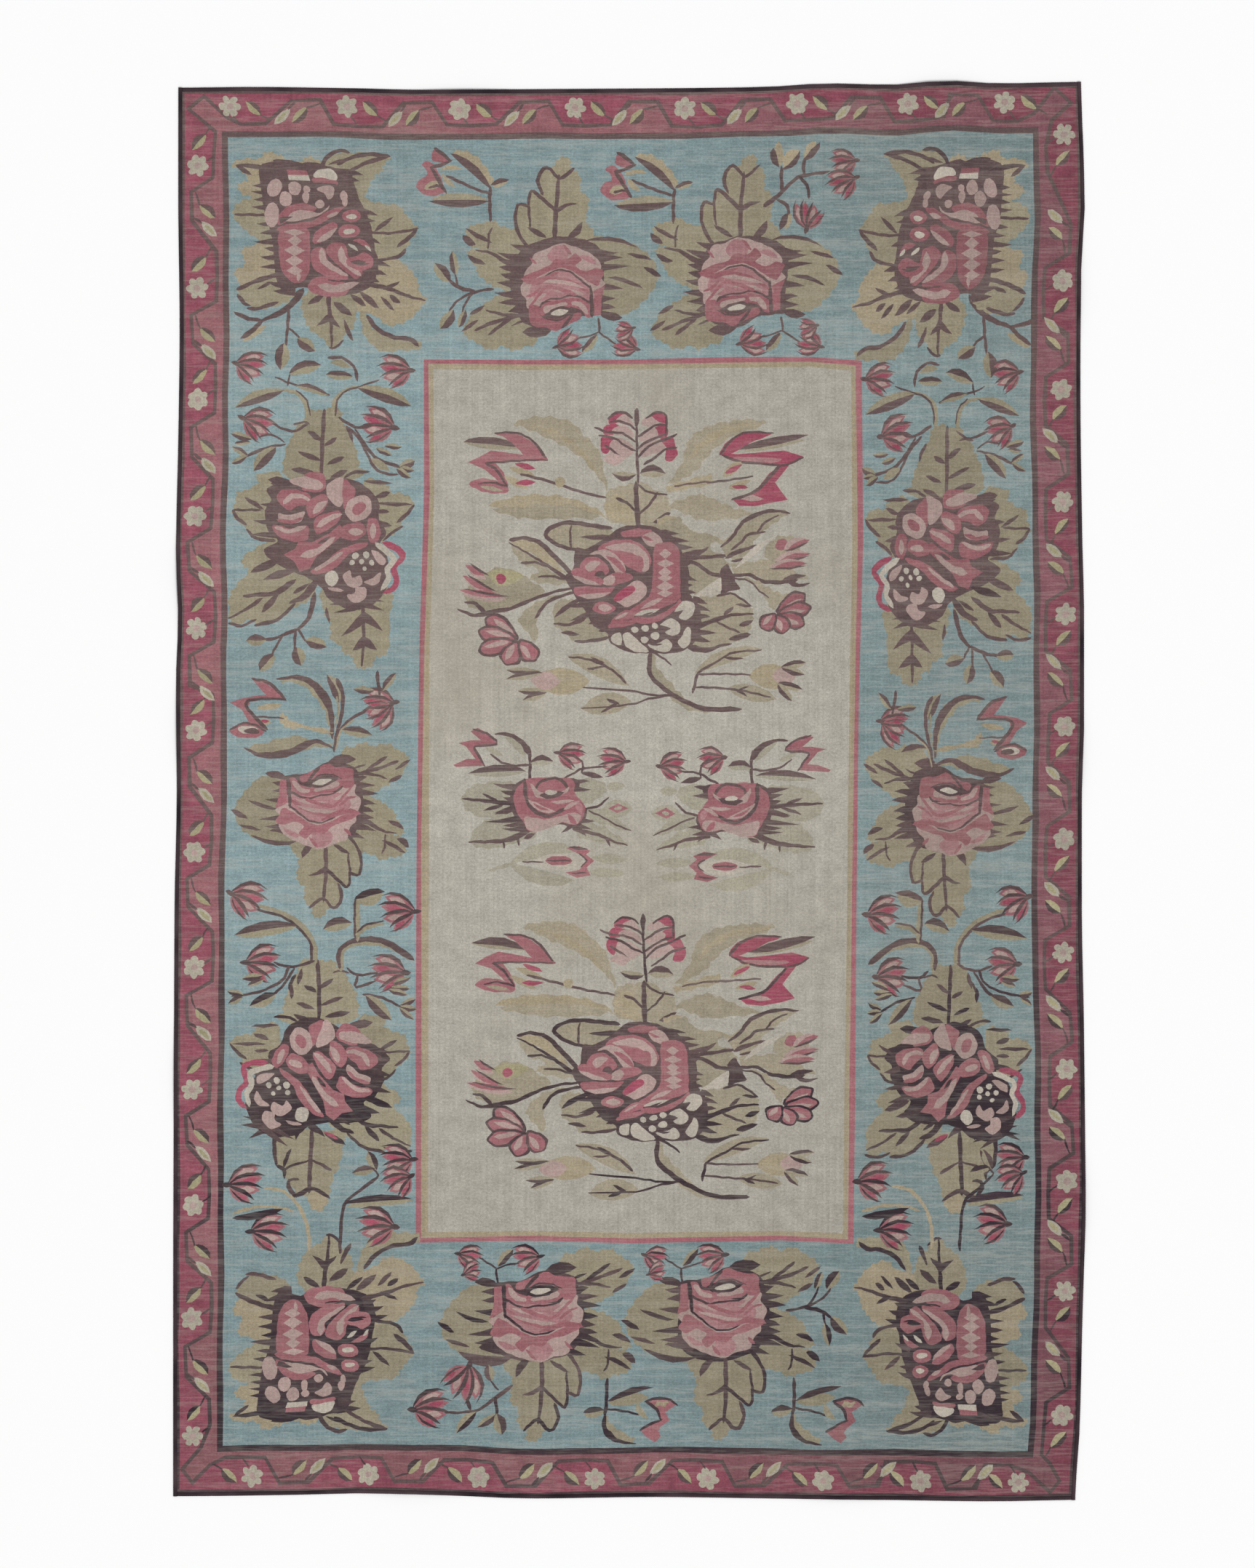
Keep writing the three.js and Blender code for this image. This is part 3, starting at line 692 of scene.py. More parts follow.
def side_flower(d):
    """The side's great flower: layered scrolls, a cup of seeds and a long pointed petal."""
    d.form("rosy", -43, 132, -21, 138, -3, 132, 3, 112, -7, 98, -37, 100, -45, 108, -20, 122)
    d.form("pale", -71, 122, -45, 130, -15, 122, -3, 112, -13, 102, -45, 108)
    d.form("pale", 3, 106, 17, 120, 36, 125, 37, 95, 31, 68, 15, 76, 5, 90)
    d.form("rosy", 37, 120, 51, 112, 61, 98, 51, 80, 36, 66)
    d.form("rosy", -97, 88, -87, 103, -57, 104, -29, 92, -35, 76, -57, 70, -71, 62, -87, 70)
    d.stem("pale", 12, 7, -81, 78, -67, 91, -45, 90, -29, 80)
    d.form("pale", -95, 55, -70, 53, -43, 61, -47, 44, -59, 37, -91, 38)
    d.stem("rosy", 8, 8, -95, 42, -71, 39, -50, 46)
    d.form("rosy", -109, 30, -95, 32, -71, 26, -40, 34, -35, 18, -41, 4, -67, 0, -97, 10)
    d.stem("pale", 9, 8, -101, 27, -75, 20, -45, 30)
    d.form("rosy", -37, 76, -17, 90, 3, 92, 5, 76, -7, 58, -33, 48)
    d.blade("pale", -25, 56, 5, 80, 15, 2)
    d.form("rosy", -23, 44, 1, 56, 27, 60, 29, 46, 9, 28, -19, 16)
    d.stem("pale", 14, 9, -13, 34, 7, 46, 27, 53)
    d.form("pale", 39, 64, 49, 82, 70, 92, 87, 86, 91, 66, 81, 48, 60, 40, 45, 46)
    d.oval("rosy", 66, 66, 16, 10, 38)
    d.form("rosy", 27, 24, 49, 37, 75, 36, 79, 16, 59, 4, 33, 8)
    d.oval("pale", 59, 20, 15, 7)
    d.form("rosy", 84, 46, 99, 47, 108, 30, 107, 6, 91, -2, 82, 20)
    d.oval("pale", 94, 22, 6, 16)
    d.area("rosy", [-87, -26, -63, -14, -57, 0, -31, 0, 5, 18, 27, 34, 39, 20, 7, -6, -21, -28, -35, -52,
            -55, -58, -65, -38])
    d.stem("pale", 15, 10, -47, -26, -17, -16, 13, 6)
    d.form("rosy", -33, -56, -7, -42, 17, -22, 43, -8, 83, 0, 79, -10, 47, -24, 21, -48, -15, -62)
    d.stem("pale", 9, 7, -21, -52, 5, -38, 31, -20)
    d.blade("brown", -17, -2, 9, 12, 7)
    for x, y, radius in [(60, -27, 7), (82, -26, 7), (53, -40, 6), (73, -39, 5), (93, -42, 6),
                         (79, -54, 5)]:
        d.oval("cream", x, y, radius, radius)
    d.form("pale", 91, -16, 107, -20, 121, -34, 117, -48, 103, -38)
    d.stem("deep", 13, 11, 119, -1, 145, -14, 155, -30, 137, -52, 143, -75, 137, -94, 121, -102)
    d.stem("cream", 12, 10, 103, -4, 125, -20, 138, -36, 125, -54, 127, -75, 115, -94)
    d.oval("cream", 11, -70, 14, 16)
    d.form("pale", 35, -64, 49, -56, 53, -70, 71, -68, 73, -84, 55, -92, 39, -80)
    d.form("pale", 77, -80, 95, -74, 111, -62, 109, -80, 93, -88)
    d.form("pale", 41, -106, 57, -102, 61, -90, 79, -92, 83, -104, 73, -118, 55, -122)
    d.blade("pale", 3, -88, 37, -95, 8, -2)


def stepped_leaf(d):
    """The long leaf below a lower side flower: a stepped left edge, a fork of veins and a pale tip."""
    d.form("khaki", -68, 28, -71, 0, -67, -38, -55, -46, -51, -64, -43, -68, -39, -78, -23, -100, -3, -106,
            3, -128, 19, -134, 31, -122, 39, -100, 45, -70, 59, -40, 65, 0, 57, 28)
    d.form("tan", -3, -106, 3, -128, 19, -134, 31, -122, 37, -106, 7, -92)
    d.stems("brown", (9, 7, -69, 28, -72, -5, -67, -40), (9, 6, -63, -44, -51, -50, -49, -66), (7, 7,
            -51, -42, -47, -26, -41, -12), (6, 4, -53, -52, -31, -40, 1, -30), (9, 8, 1, 28, 0, -40, 0, -94),
            (7, 4, 41, -52, 19, -38, 1, -30), (6, 9, -23, -70, -39, -72, -41, -86, -27, -104),
            (9, 8, -31, -106, -13, -98, 1, -88, 19, -94, 37, -106))
    d.blade("brown", 25, 24, 71, -2, 13)
    d.blade("deep", 25, 26, 55, 10, 8)
    for x0, y0, x1, y1 in [(-27, 36, -31, 10), (3, 36, 27, 16), (-75, 38, -123, 10)]:
        d.barb("brown", x0, y0, x1, y1, 16)


def berry_sprig(d):
    """A twig with four berries under the side's great flower."""
    d.stems("brown", (11, 7, -23, -102, -35, -150, -57, -175), (7, 6, -57, -174, -95, -190, -125, -195),
            (5, 4, -85, -186, -99, -210, -109, -228), (6, 5, -61, -174, -63, -214), (6, 5, -55, -174,
            -43, -198))
    d.leaves((-117, -195, -157, -194, 22, 0, -1), (-103, -224, -132, -256, 26, 0, -1),
            (-60, -210, -50, -250, 25, 0, -1), (-43, -198, -1, -210, 24, 2, -1))


def sprig_left(d):
    """The left half of the sprigs round the side's upper leaf."""
    d.stem("khaki", 10, 6, -33, -10, -39, 20, -56, 38, -82, 43)
    d.stem("brown", 3, 3, -29, -8, -35, 22, -56, 42)
    d.leaf(-78, 43, -178, 7, 24, -6, 1)
    d.stems("brown", (6, 3, 8, 33, -32, 46, -68, 56, -96, 68), (5, 4, -72, 52, -68, 72))
    d.leaves((-70, 74, -6, 92, 25, 4, 1), (-56, 52, 8, 33, 15, 2, 1))
    head(d, -174, 92, -4, 1.0)
    head(d, -160, -16, -10, 1.05)
    d.stems("brown", (5, 6, -102, -22, -80, -33, -56, -37, -34, -24), (5, 4, -130, -48, -104, -44, -80, -58),
            (4, 7, -78, -63, -116, -70, -156, -88))
    d.leaves((-154, -88, -186, -70, 12, 0, -1), (-156, -88, -188, -104, 12, 0, 1),
            (-96, -68, -144, -119, 26, -4, 1))
    d.blade("brown", -114, -92, -134, -106, 6)
    d.leaves((-144, -54, -188, -44, 14, 0, 1), (-148, -60, -182, -64, 10, 0, -1))


def sprig_right(d):
    """The right half of the sprigs round the side's upper leaf."""
    d.stem("khaki", 9, 6, 16, -10, 18, 22, 36, 42, 63, 52)
    d.stem("brown", 4, 4, 20, -8, 24, 24, 42, 43, 68, 52, 106, 64)
    d.leaves((63, 50, 174, 8, 28, 5, -1), (56, 73, 1, 74, 18, 0, -1))
    d.stem("brown", 6, 7, 8, 107, 34, 109, 58, 92, 64, 66)
    d.blade("khaki", 10, 100, 52, 90, 13, 3)
    head(d, 170, 78, 172, 1.05, -1)
    head(d, 134, -36, 160, 1.15, -1)
    d.stems("brown", (7, 5, 28, -13, 52, -28, 73, -33, 96, -25), (6, 5, 48, -34, 72, -60, 84, -84, 100, -112,
            120, -123, 144, -125), (5, 7, 60, -36, 82, -70, 108, -96, 150, -110))
    d.blade("khaki", 92, -94, 130, -118, 16)
    d.leaves((148, -110, 180, -98, 17, 0, -1), (148, -112, 178, -117, 11, 0, -1),
            (142, -112, 170, -132, 13, 0, -1), (102, -74, 134, -87, 12, 0, -1),
            (118, -68, 154, -72, 11, 0, -1))


def middle_sprigs(d):
    """The sprigs above a lower side flower: two arched stems, four heads and twigs with small leaves."""
    d.stem("khaki", 13, 8, -26, -28, -28, 8, -52, 44, -90, 67, -136, 82)
    d.stem("brown", 6, 5, -32, -26, -34, 10, -58, 40, -94, 62, -162, 80)
    d.leaf(-62, 44, -190, 26, 27, -2, -1)
    head(d, -192, 106, -14, 1.15)
    head(d, -162, -30, 8, 1.15)
    d.stems("brown", (6, 5, -28, -24, -50, -33, -78, -36, -104, -28), (6, 5, -76, -36, -92, -64, -138, -84,
            -192, -94), (6, 6, -66, -40, -88, -72, -112, -92))
    d.leaves((-104, -88, -158, -112, 24, 2, -1), (-170, -90, -202, -84, 12, 0, 1),
            (-172, -94, -200, -110, 12, 0, -1), (-128, -52, -172, -58, 15, 0, 1),
            (-126, -60, -162, -72, 11, 0, -1))
    d.blades("brown", (-50, -40, -60, -74, 9), (-72, -70, -73, -102, 9))
    d.stem("khaki", 14, 9, 25, -40, 25, -8, 44, 10, 80, 11, 120, 2, 162, -24)
    d.stem("brown", 8, 13, 22, -36, 21, -6, 40, 13, 74, 19, 114, 10, 162, -22)
    d.stem("khaki", 12, 10, 57, 20, 57, 54, 55, 98)
    d.stem("brown", 5, 5, 53, 20, 51, 60, 51, 98)
    d.blade("khaki", 54, 96, 110, 110, 24, -6)
    d.blade("brown", 48, 98, 114, 114, 14, 6)
    d.leaf(46, 52, -12, 40, 26, -5, -1)
    d.stem("khaki", 9, 6, 57, 30, 76, 42, 108, 48)
    d.stem("brown", 5, 4, 57, 34, 76, 48, 108, 53)
    head(d, 172, 70, 172, 1.2, -1)
    head(d, 148, -54, 170, 1.15, -1)
    d.stems("brown", (6, 5, 38, -40, 56, -53, 94, -50), (6, 5, 57, -54, 54, -78, 90, -66), (6, 5, 68, -92,
            106, -100, 144, -118))
    d.leaf(72, -94, 126, -144, 24, 2, -1)
    for ends in [(142, -114, 172, -102), (142, -118, 176, -122), (140, -120, 170, -142),
                 (126, -72, 162, -60), (122, -80, 160, -82), (116, -84, 156, -94)]:
        d.leaf(*ends, 12, 0, -1)


def end_sprigs(d):
    """The sprigs below a lower side flower: a dark stem with a black leaf, a pale arch with a long leaf, and
    five heads."""
    d.stems("tan", (8, 7, -18, -82, -21, -40, -36, 2, -66, 34, -102, 42), (7, 5, -168, -6, -124, 4, -80, 2,
            -48, -6))
    d.blade("brown", -172, -16, -68, -2, 17, -4)
    d.stem("brown", 7, 6, 43, -85, 43, -53, 50, 8, 83, 36, 115, 60)
    d.blade("khaki", 54, 4, 188, 18, 17, 3)
    d.blade("ink", 48, 10, 186, 22, 14, 5)
    d.leaves((98, 114, 116, 74, 20, 0, 1), (66, 70, 114, 78, 18, 0, 1))
    d.stem("brown", 5, 4, 108, 78, 118, 66, 112, 56)
    head(d, -178, 48, 10, 1.2)
    head(d, -132, -48, 6, 1.2)
    head(d, 188, 96, 176, 1.05, -1)
    head(d, 184, 64, 196, 1.0, -1)
    head(d, 146, -38, 170, 1.2, -1)


def side_tulip(d):
    """The group between two great flowers of a side: a long tulip, tall leaves and a drooping head."""
    d.form("khaki", -96, 72, -52, 62, -22, 34, -2, 2, 4, -38, 12, -20, 8, 26, -16, 62, -56, 80)
    d.stems("brown", (4, 18, -102, 75, -64, 78, -32, 66, -6, 40), (19, 6, -14, 50, 0, 28, 8, 0, 9, -40))
    d.leaf(23, 30, -4, 84, 22, -6, 1)
    d.stem("brown", 9, 5, 16, 74, 28, 50, 28, 10, 18, -30, 12, -66)
    d.stem("khaki", 5, 3, 18, 40, 21, 10, 14, -20)
    d.form("khaki", -162, -64, -120, -48, -64, -37, -6, -50, 8, -56, -40, -62, -100, -74)
    d.stems("brown", (4, 14, -168, -62, -140, -74, -106, -74), (15, 13, -116, -75, -76, -68, -40, -52),
            (14, 4, -52, -57, -22, -47, 10, -60), (6, 5, 12, -64, 20, -32, 40, -6, 70, 14, 100, 30))
    d.stem("tan", 4, 3, 16, -60, 26, -26, 50, -4)
    d.leaf(28, -24, 86, -33, 20, 2, 1)
    d.form("tan", -96, 4, -84, 5, -68, -10, 0, -24, 4, -32, -68, -21, -86, -20)
    d.blades("tan", (-144, 18, -90, 24, 13), (-138, -8, -112, -10, 12))
    d.blade("deep", -134, -8, -116, -7, 6)
    d.stem("brown", 4, 3, -146, 1, -118, 0, -88, -2)
    d.area("rosy", [-152, 76, -126, 70, -104, 54, -86, 36, -116, 38, -134, 56])
    d.area("rosy", [-198, 28, -176, 38, -140, 45, -90, 44, -84, 34, -118, 37, -156, 34, -160, 22, -145, 0,
            -124, -22, -136, -24, -158, -10, -174, 14])
    d.stems("brown", (6, 6, -152, 78, -122, 71, -100, 52, -84, 34), (4, 9, -84, 34, -120, 37, -158, 34,
            -164, 22, -148, 2, -124, -22))
    d.oval("rosy", -162, -28, 36, 15)
    d.oval("cream", -160, -26, 22, 8)
    d.oval("brown", -152, -28, 16, 6)
    d.stem("brown", 5, 4, -196, -26, -170, -13, -144, -16, -124, -28)
    head(d, 128, 28, 176, 1.05, -1)
    head(d, 122, 28, 226, 0.95)
    d.stem("brown", 8, 6, 96, 90, 98, 72, 102, 46)
    d.leaves((106, 55, 135, 90, 15, 0, 1), (92, 55, 48, 58, 14, 0, 1))


# Motifs of the ivory field


def great_plume(d):
    """The top of the large bouquet: a stem with three pairs of petals over two small leaves."""
    d.form("khaki", -48, 596, -30, 610, 0, 616, 20, 622, 50, 604, 74, 588, 78, 560, 60, 540, 0, 536,
            -46, 548)
    d.form("tan", -50, 560, -40, 590, -18, 598, 6, 560, 0, 540, -30, 544)
    d.form("deep", -44, 742, -34, 754, -16, 757, -8, 750, -22, 744, -26, 734, -42, 733)
    d.form("pale", -26, 744, -8, 752, 2, 740, 8, 730, -10, 731, -26, 735)
    d.form("deep", -56, 722, -48, 732, -30, 733, -16, 726, -30, 722, -34, 712, -52, 712)
    d.form("pale", -34, 724, -14, 730, 4, 720, 10, 706, -12, 708, -34, 714)
    d.form("deep", -60, 704, -50, 710, -34, 702, -38, 690, -46, 674, -58, 682)
    d.form("pale", -38, 700, -16, 704, 4, 692, 10, 680, -14, 664, -40, 676)
    d.form("deep", 42, 750, 56, 756, 72, 750, 74, 736, 58, 738, 50, 744)
    d.form("pale", 22, 736, 32, 746, 48, 744, 58, 738, 50, 730, 28, 728)
    d.form("deep", 52, 726, 74, 732, 78, 714, 70, 704, 54, 710, 58, 718)
    d.form("pale", 20, 708, 34, 722, 54, 724, 58, 712, 44, 704, 24, 698)
    d.form("pale", 20, 682, 36, 698, 60, 704, 74, 698, 70, 684, 48, 674, 28, 668)
    d.form("deep", 62, 704, 86, 710, 94, 694, 98, 676, 86, 662, 72, 666, 76, 688)
    for line in [(-40, 738, -22, 738, 0, 730, 12, 720), (-72, 728, -48, 718, -16, 714, 10, 698),
                 (-62, 712, -30, 704, -10, 690, 12, 680), (-52, 692, -34, 680, -16, 664),
                 (-44, 744, -28, 756, -8, 754, 4, 744), (74, 734, 50, 730, 30, 716, 18, 708),
                 (34, 744, 56, 757, 73, 750, 74, 712), (74, 714, 52, 706, 30, 694, 18, 684),
                 (96, 716, 72, 704, 40, 690, 18, 668), (96, 690, 72, 684, 52, 668, 30, 654)]:
        d.stem("brown", 5, 5, *line)
    d.form("pale", -54, 664, -34, 676, -14, 664, -30, 652)
    d.stems("brown", (11, 9, 14, 760, 14, 730), (5, 6, 14, 735, 15, 690, 17, 620))
    d.leaves((14, 634, -36, 638, 17, 5, 1), (20, 636, 74, 636, 24, 5, 1))
    d.stems("brown", (9, 11, 12, 618, 12, 580, 14, 534), (5, 4, 14, 616, 36, 600, 72, 594), (4, 6, 14, 556,
            36, 574, 54, 598), (7, 4, -26, 588, -8, 580, 12, 560), (9, 12, 76, 556, 58, 544, 36, 526))


def field_tulip(d):
    """The large bouquet's left tulip and its two long leaves."""
    d.form("khaki", -232, 736, -200, 748, -160, 750, -120, 740, -92, 712, -64, 682, -54, 650, -44, 604,
            -60, 626, -90, 660, -130, 688, -170, 708, -210, 728)
    d.form("tan", -200, 730, -160, 716, -120, 690, -86, 656, -64, 630, -80, 662, -112, 696, -156, 726)
    d.form("tan", -280, 570, -236, 588, -190, 592, -130, 588, -80, 574, -44, 548, -90, 562, -180, 562)
    d.form("khaki", -272, 566, -210, 570, -120, 572, -60, 552, -110, 546, -180, 544, -230, 550)
    d.blade("khaki", -330, 700, -200, 690, 22, 3)
    d.blade("brown", -330, 701, -218, 688, 16, 10)
    d.form("rosy", -264, 718, -226, 716, -196, 698, -178, 678, -163, 660, -200, 664, -224, 688, -246, 708)
    d.stem("brown", 4, 5, -266, 719, -226, 718, -194, 700, -166, 662)
    d.area("rosy", [-322, 660, -300, 672, -276, 684, -250, 680, -218, 674, -164, 664, -164, 660, -268, 660,
            -252, 640, -240, 612, -252, 610, -268, 628, -290, 648])
    d.stems("brown", (3, 5, -164, 661, -220, 662, -284, 660), (5, 5, -286, 659, -264, 644, -244, 612))
    d.form("rosy", -322, 616, -300, 628, -268, 624, -244, 612, -244, 598, -276, 598, -302, 604)
    d.blade("khaki", -298, 612, -250, 602, 9)
    d.stem("brown", 3, 5, -302, 616, -276, 620, -244, 611)
    d.blades("tan", (-240, 650, -186, 628, 14), (-250, 632, -200, 604, 14))
    d.blades("deep", (-228, 657, -188, 643, 11), (-228, 617, -186, 617, 11))
    d.stem("brown", 6, 5, -216, 634, -160, 618, -100, 600, -50, 590)
    d.oval("tan", -138, 616, 10, 11)


def right_tulip(d):
    """The large bouquet's right tulip and its two long leaves."""
    d.form("khaki", 272, 740, 233, 745, 197, 741, 160, 732, 130, 716, 114, 690, 104, 655, 76, 616, 108, 628,
            136, 646, 160, 676, 200, 708, 245, 724)
    d.form("tan", 262, 734, 220, 736, 180, 726, 140, 700, 120, 664, 148, 690, 196, 718)
    d.form("khaki", 78, 572, 110, 588, 140, 596, 176, 582, 210, 566, 250, 554, 200, 545, 142, 543, 110, 556)
    d.form("tan", 76, 612, 120, 626, 162, 636, 162, 616, 120, 608, 78, 600)
    d.blade("khaki", 226, 680, 350, 704, 20, 4)
    d.form("deep", 180, 676, 198, 704, 236, 718, 282, 716, 250, 702, 222, 686, 200, 676)
    d.area("deep", [184, 678, 216, 674, 243, 676, 306, 682, 342, 670, 316, 652, 288, 615, 297, 603, 314, 583,
            288, 576, 250, 568, 220, 570, 206, 583, 252, 600, 276, 633, 297, 651, 252, 654, 206, 660])
    d.blade("pale", 214, 588, 268, 582, 12)
    d.form("blush", 206, 668, 250, 668, 300, 664, 280, 656, 230, 660)
    d.stem("brown", 5, 4, 182, 676, 204, 704, 236, 719, 284, 717)
    d.blade("brown", 218, 684, 356, 714, 18, 2)
    d.stems("brown", (5, 5, 186, 674, 224, 658, 297, 651), (6, 6, 297, 651, 276, 626, 250, 598, 206, 583),
            (4, 5, 342, 668, 318, 655, 298, 651))
    d.blades("tan", (186, 630, 222, 660, 18), (196, 606, 240, 620, 14))
    d.blades("deep", (190, 636, 224, 654, 10), (204, 610, 236, 606, 9))
    d.stems("brown", (5, 4, 156, 620, 198, 623, 244, 628), (4, 4, 90, 612, 124, 618, 158, 622))


def great_leaves(d):
    """The dark-edged leaves, trumpets and small flowers at the left of the large bouquet's rose."""
    d.form("khaki", -166, 514, -150, 530, -118, 537, -70, 534, -30, 520, -40, 496, -78, 484, -104, 484,
            -142, 494)
    d.stems("brown", (9, 6, -40, 530, -76, 534, -118, 538, -150, 530, -166, 514, -142, 494, -104, 484,
            -74, 485, -50, 494), (4, 5, -116, 532, -118, 510, -116, 488))
    d.blade("brown", -98, 510, -20, 512, 10)
    d.form("tan", -238, 499, -212, 505, -184, 498, -160, 480, -134, 446, -124, 436, -150, 448, -196, 478)
    d.form("khaki", -236, 494, -200, 476, -168, 452, -136, 432, -112, 420, -142, 416, -190, 424, -200, 434,
            -180, 446, -214, 458, -226, 472)
    d.stems("brown", (7, 10, -238, 503, -212, 508, -180, 500, -154, 476, -122, 444, -106, 420), (3, 9,
            -240, 498, -206, 480, -172, 460, -140, 438, -104, 414), (6, 4, -217, 459, -190, 461, -164, 452),
            (3, 6, -184, 432, -160, 434, -128, 426))
    d.form("khaki", -330, 398, -310, 420, -270, 448, -230, 442, -190, 420, -170, 404, -220, 376, -280, 364,
            -320, 370)
    d.form("olive", -286, 436, -256, 446, -216, 438, -226, 424, -262, 412)
    d.oval("deep", -259, 426, 10, 10)
    for x0, y0, x1, y1 in [(-328, 454, -282, 429), (-334, 432, -266, 398), (-342, 405, -240, 390)]:
        d.blade("pale", x0 + 4, y0 - 8, x1 - 6, y1 - 4, 15, -2)
        d.blade("rosy", x0, y0 - 1, x1 - 10, y1 + 2, 12, -2)
        d.blade("brown", x0 + 8, y0 + 1, x1, y1 + 2, 5, -2)
    d.stems("brown", (5, 9, -108, 408, -150, 402, -200, 386, -240, 368, -286, 360), (10, 4, -276, 360,
            -310, 354, -342, 366), (10, 5, -290, 358, -308, 376, -328, 380))
    d.form("khaki", -110, 400, -160, 392, -196, 376, -222, 348, -210, 326, -186, 302, -184, 350, -170, 376,
            -140, 390)
    d.stem("brown", 6, 8, -108, 399, -146, 390, -170, 376, -186, 352)
    small_flower(d)


def small_flower(d):
    """A five-petalled flower with dark outlines at the left of the large bouquet."""
    for row in [(-222, 306, -286, 350, 42), (-222, 304, -300, 322, 36), (-224, 301, -298, 284, 38),
                (-222, 302, -246, 254, 44), (-220, 306, -190, 262, 42)]:
        petal(d, *row)


def petal(d, x0, y0, x1, y1, width):
    """A rounded petal from its root outwards: a dark rim, a rosy body and a paler streak."""
    root, tip = np.array([x0, y0], float), np.array([x1, y1], float)
    run = tip - root
    left = np.array([-run[1], run[0]]) / np.hypot(*run)
    for dye, scale, shrink in (("brown", 1.0, 0.0), ("rosy", 0.72, 0.1)):
        a, b = root + run * shrink, tip - run * shrink * 0.6
        half = left * width * scale / 2
        span = b - a
        d.form(dye, a, a + span * 0.35 + half * 0.8, a + span * 0.75 + half, b + half * 0.3, b - half * 0.3,
                a + span * 0.75 - half, a + span * 0.35 - half * 0.8)
    streak_root = root + run * 0.2 - left * width * 0.1
    streak_tip = tip - run * 0.15 - left * width * 0.12
    d.blade("pale", *streak_root, *streak_tip, width * 0.3)


def great_rose(d):
    """The large bouquet's rose: a swirl of rosy petals beside a zigzag petal, with seeds below."""
    d.form("khaki", -148, 380, -120, 386, -100, 384, -60, 380, -40, 340, -30, 310, -60, 300, -108, 300,
            -130, 318, -150, 338)
    d.form("khaki", 20, 540, 60, 536, 96, 548, 120, 522, 180, 508, 160, 488, 190, 470, 200, 440, 170, 400,
            130, 390, 100, 430, 90, 500)
    d.form("khaki", 120, 390, 160, 392, 200, 400, 235, 380, 245, 356, 240, 330, 230, 312, 200, 298, 160, 284,
            120, 290, 110, 340)
    d.form("brown", -128, 432, -112, 446, -108, 486, -84, 488, -52, 508, -20, 532, 30, 534, 66, 520, 92, 500,
            108, 470, 118, 440, 116, 400, 132, 380, 140, 340, 128, 300, 96, 282, 44, 280, 0, 280, -38, 296,
            -44, 316, -70, 330, -90, 366, -110, 396)
    d.spikes(15, (-60, 376, -136, 370), (-66, 358, -118, 342), (-56, 346, -82, 332), (-44, 328, -62, 318))
    d.blade("brown", -150, 350, -84, 388, 11, 5)
    d.stem("brown", 4, 9, -150, 338, -120, 334, -90, 344)
    d.blade("brown", -138, 320, -100, 313, 9)
    d.stem("brown", 5, 8, -110, 300, -80, 300, -44, 306)
    d.spikes(15, (60, 516, 100, 514), (80, 500, 120, 499), (90, 486, 128, 486), (100, 466, 150, 484),
            (100, 448, 124, 456), (100, 430, 132, 420), (100, 410, 126, 412), (104, 396, 130, 398))
    d.blade("brown", 118, 462, 160, 489, 9)
    d.stems("brown", (9, 6, 110, 464, 150, 468, 200, 474), (8, 8, 108, 462, 138, 452, 158, 438, 184, 432))
    d.form("brown", 180, 440, 196, 456, 204, 440, 220, 410, 196, 404, 180, 398)
    d.form("cream", 122, 388, 148, 408, 172, 424, 182, 428, 178, 398, 150, 392)
    d.spikes(14, (128, 384, 152, 376), (128, 370, 160, 362), (130, 350, 158, 352))
    d.stem("brown", 5, 4, 172, 392, 200, 400, 226, 386, 240, 376)
    d.blades("brown", (184, 356, 206, 374, 8), (208, 378, 244, 374, 6))
    d.stems("brown", (12, 4, 128, 330, 160, 342, 200, 356, 244, 359), (5, 5, 170, 342, 190, 332, 216, 322))
    d.blade("brown", 216, 334, 246, 346, 10)
    d.spikes(15, (126, 320, 172, 318), (130, 308, 160, 300))
    d.blade("brown", 196, 306, 242, 318, 13)
    d.stem("brown", 14, 3, 118, 292, 150, 284, 178, 292, 202, 298)
    great_petals(d)
    great_right(d)


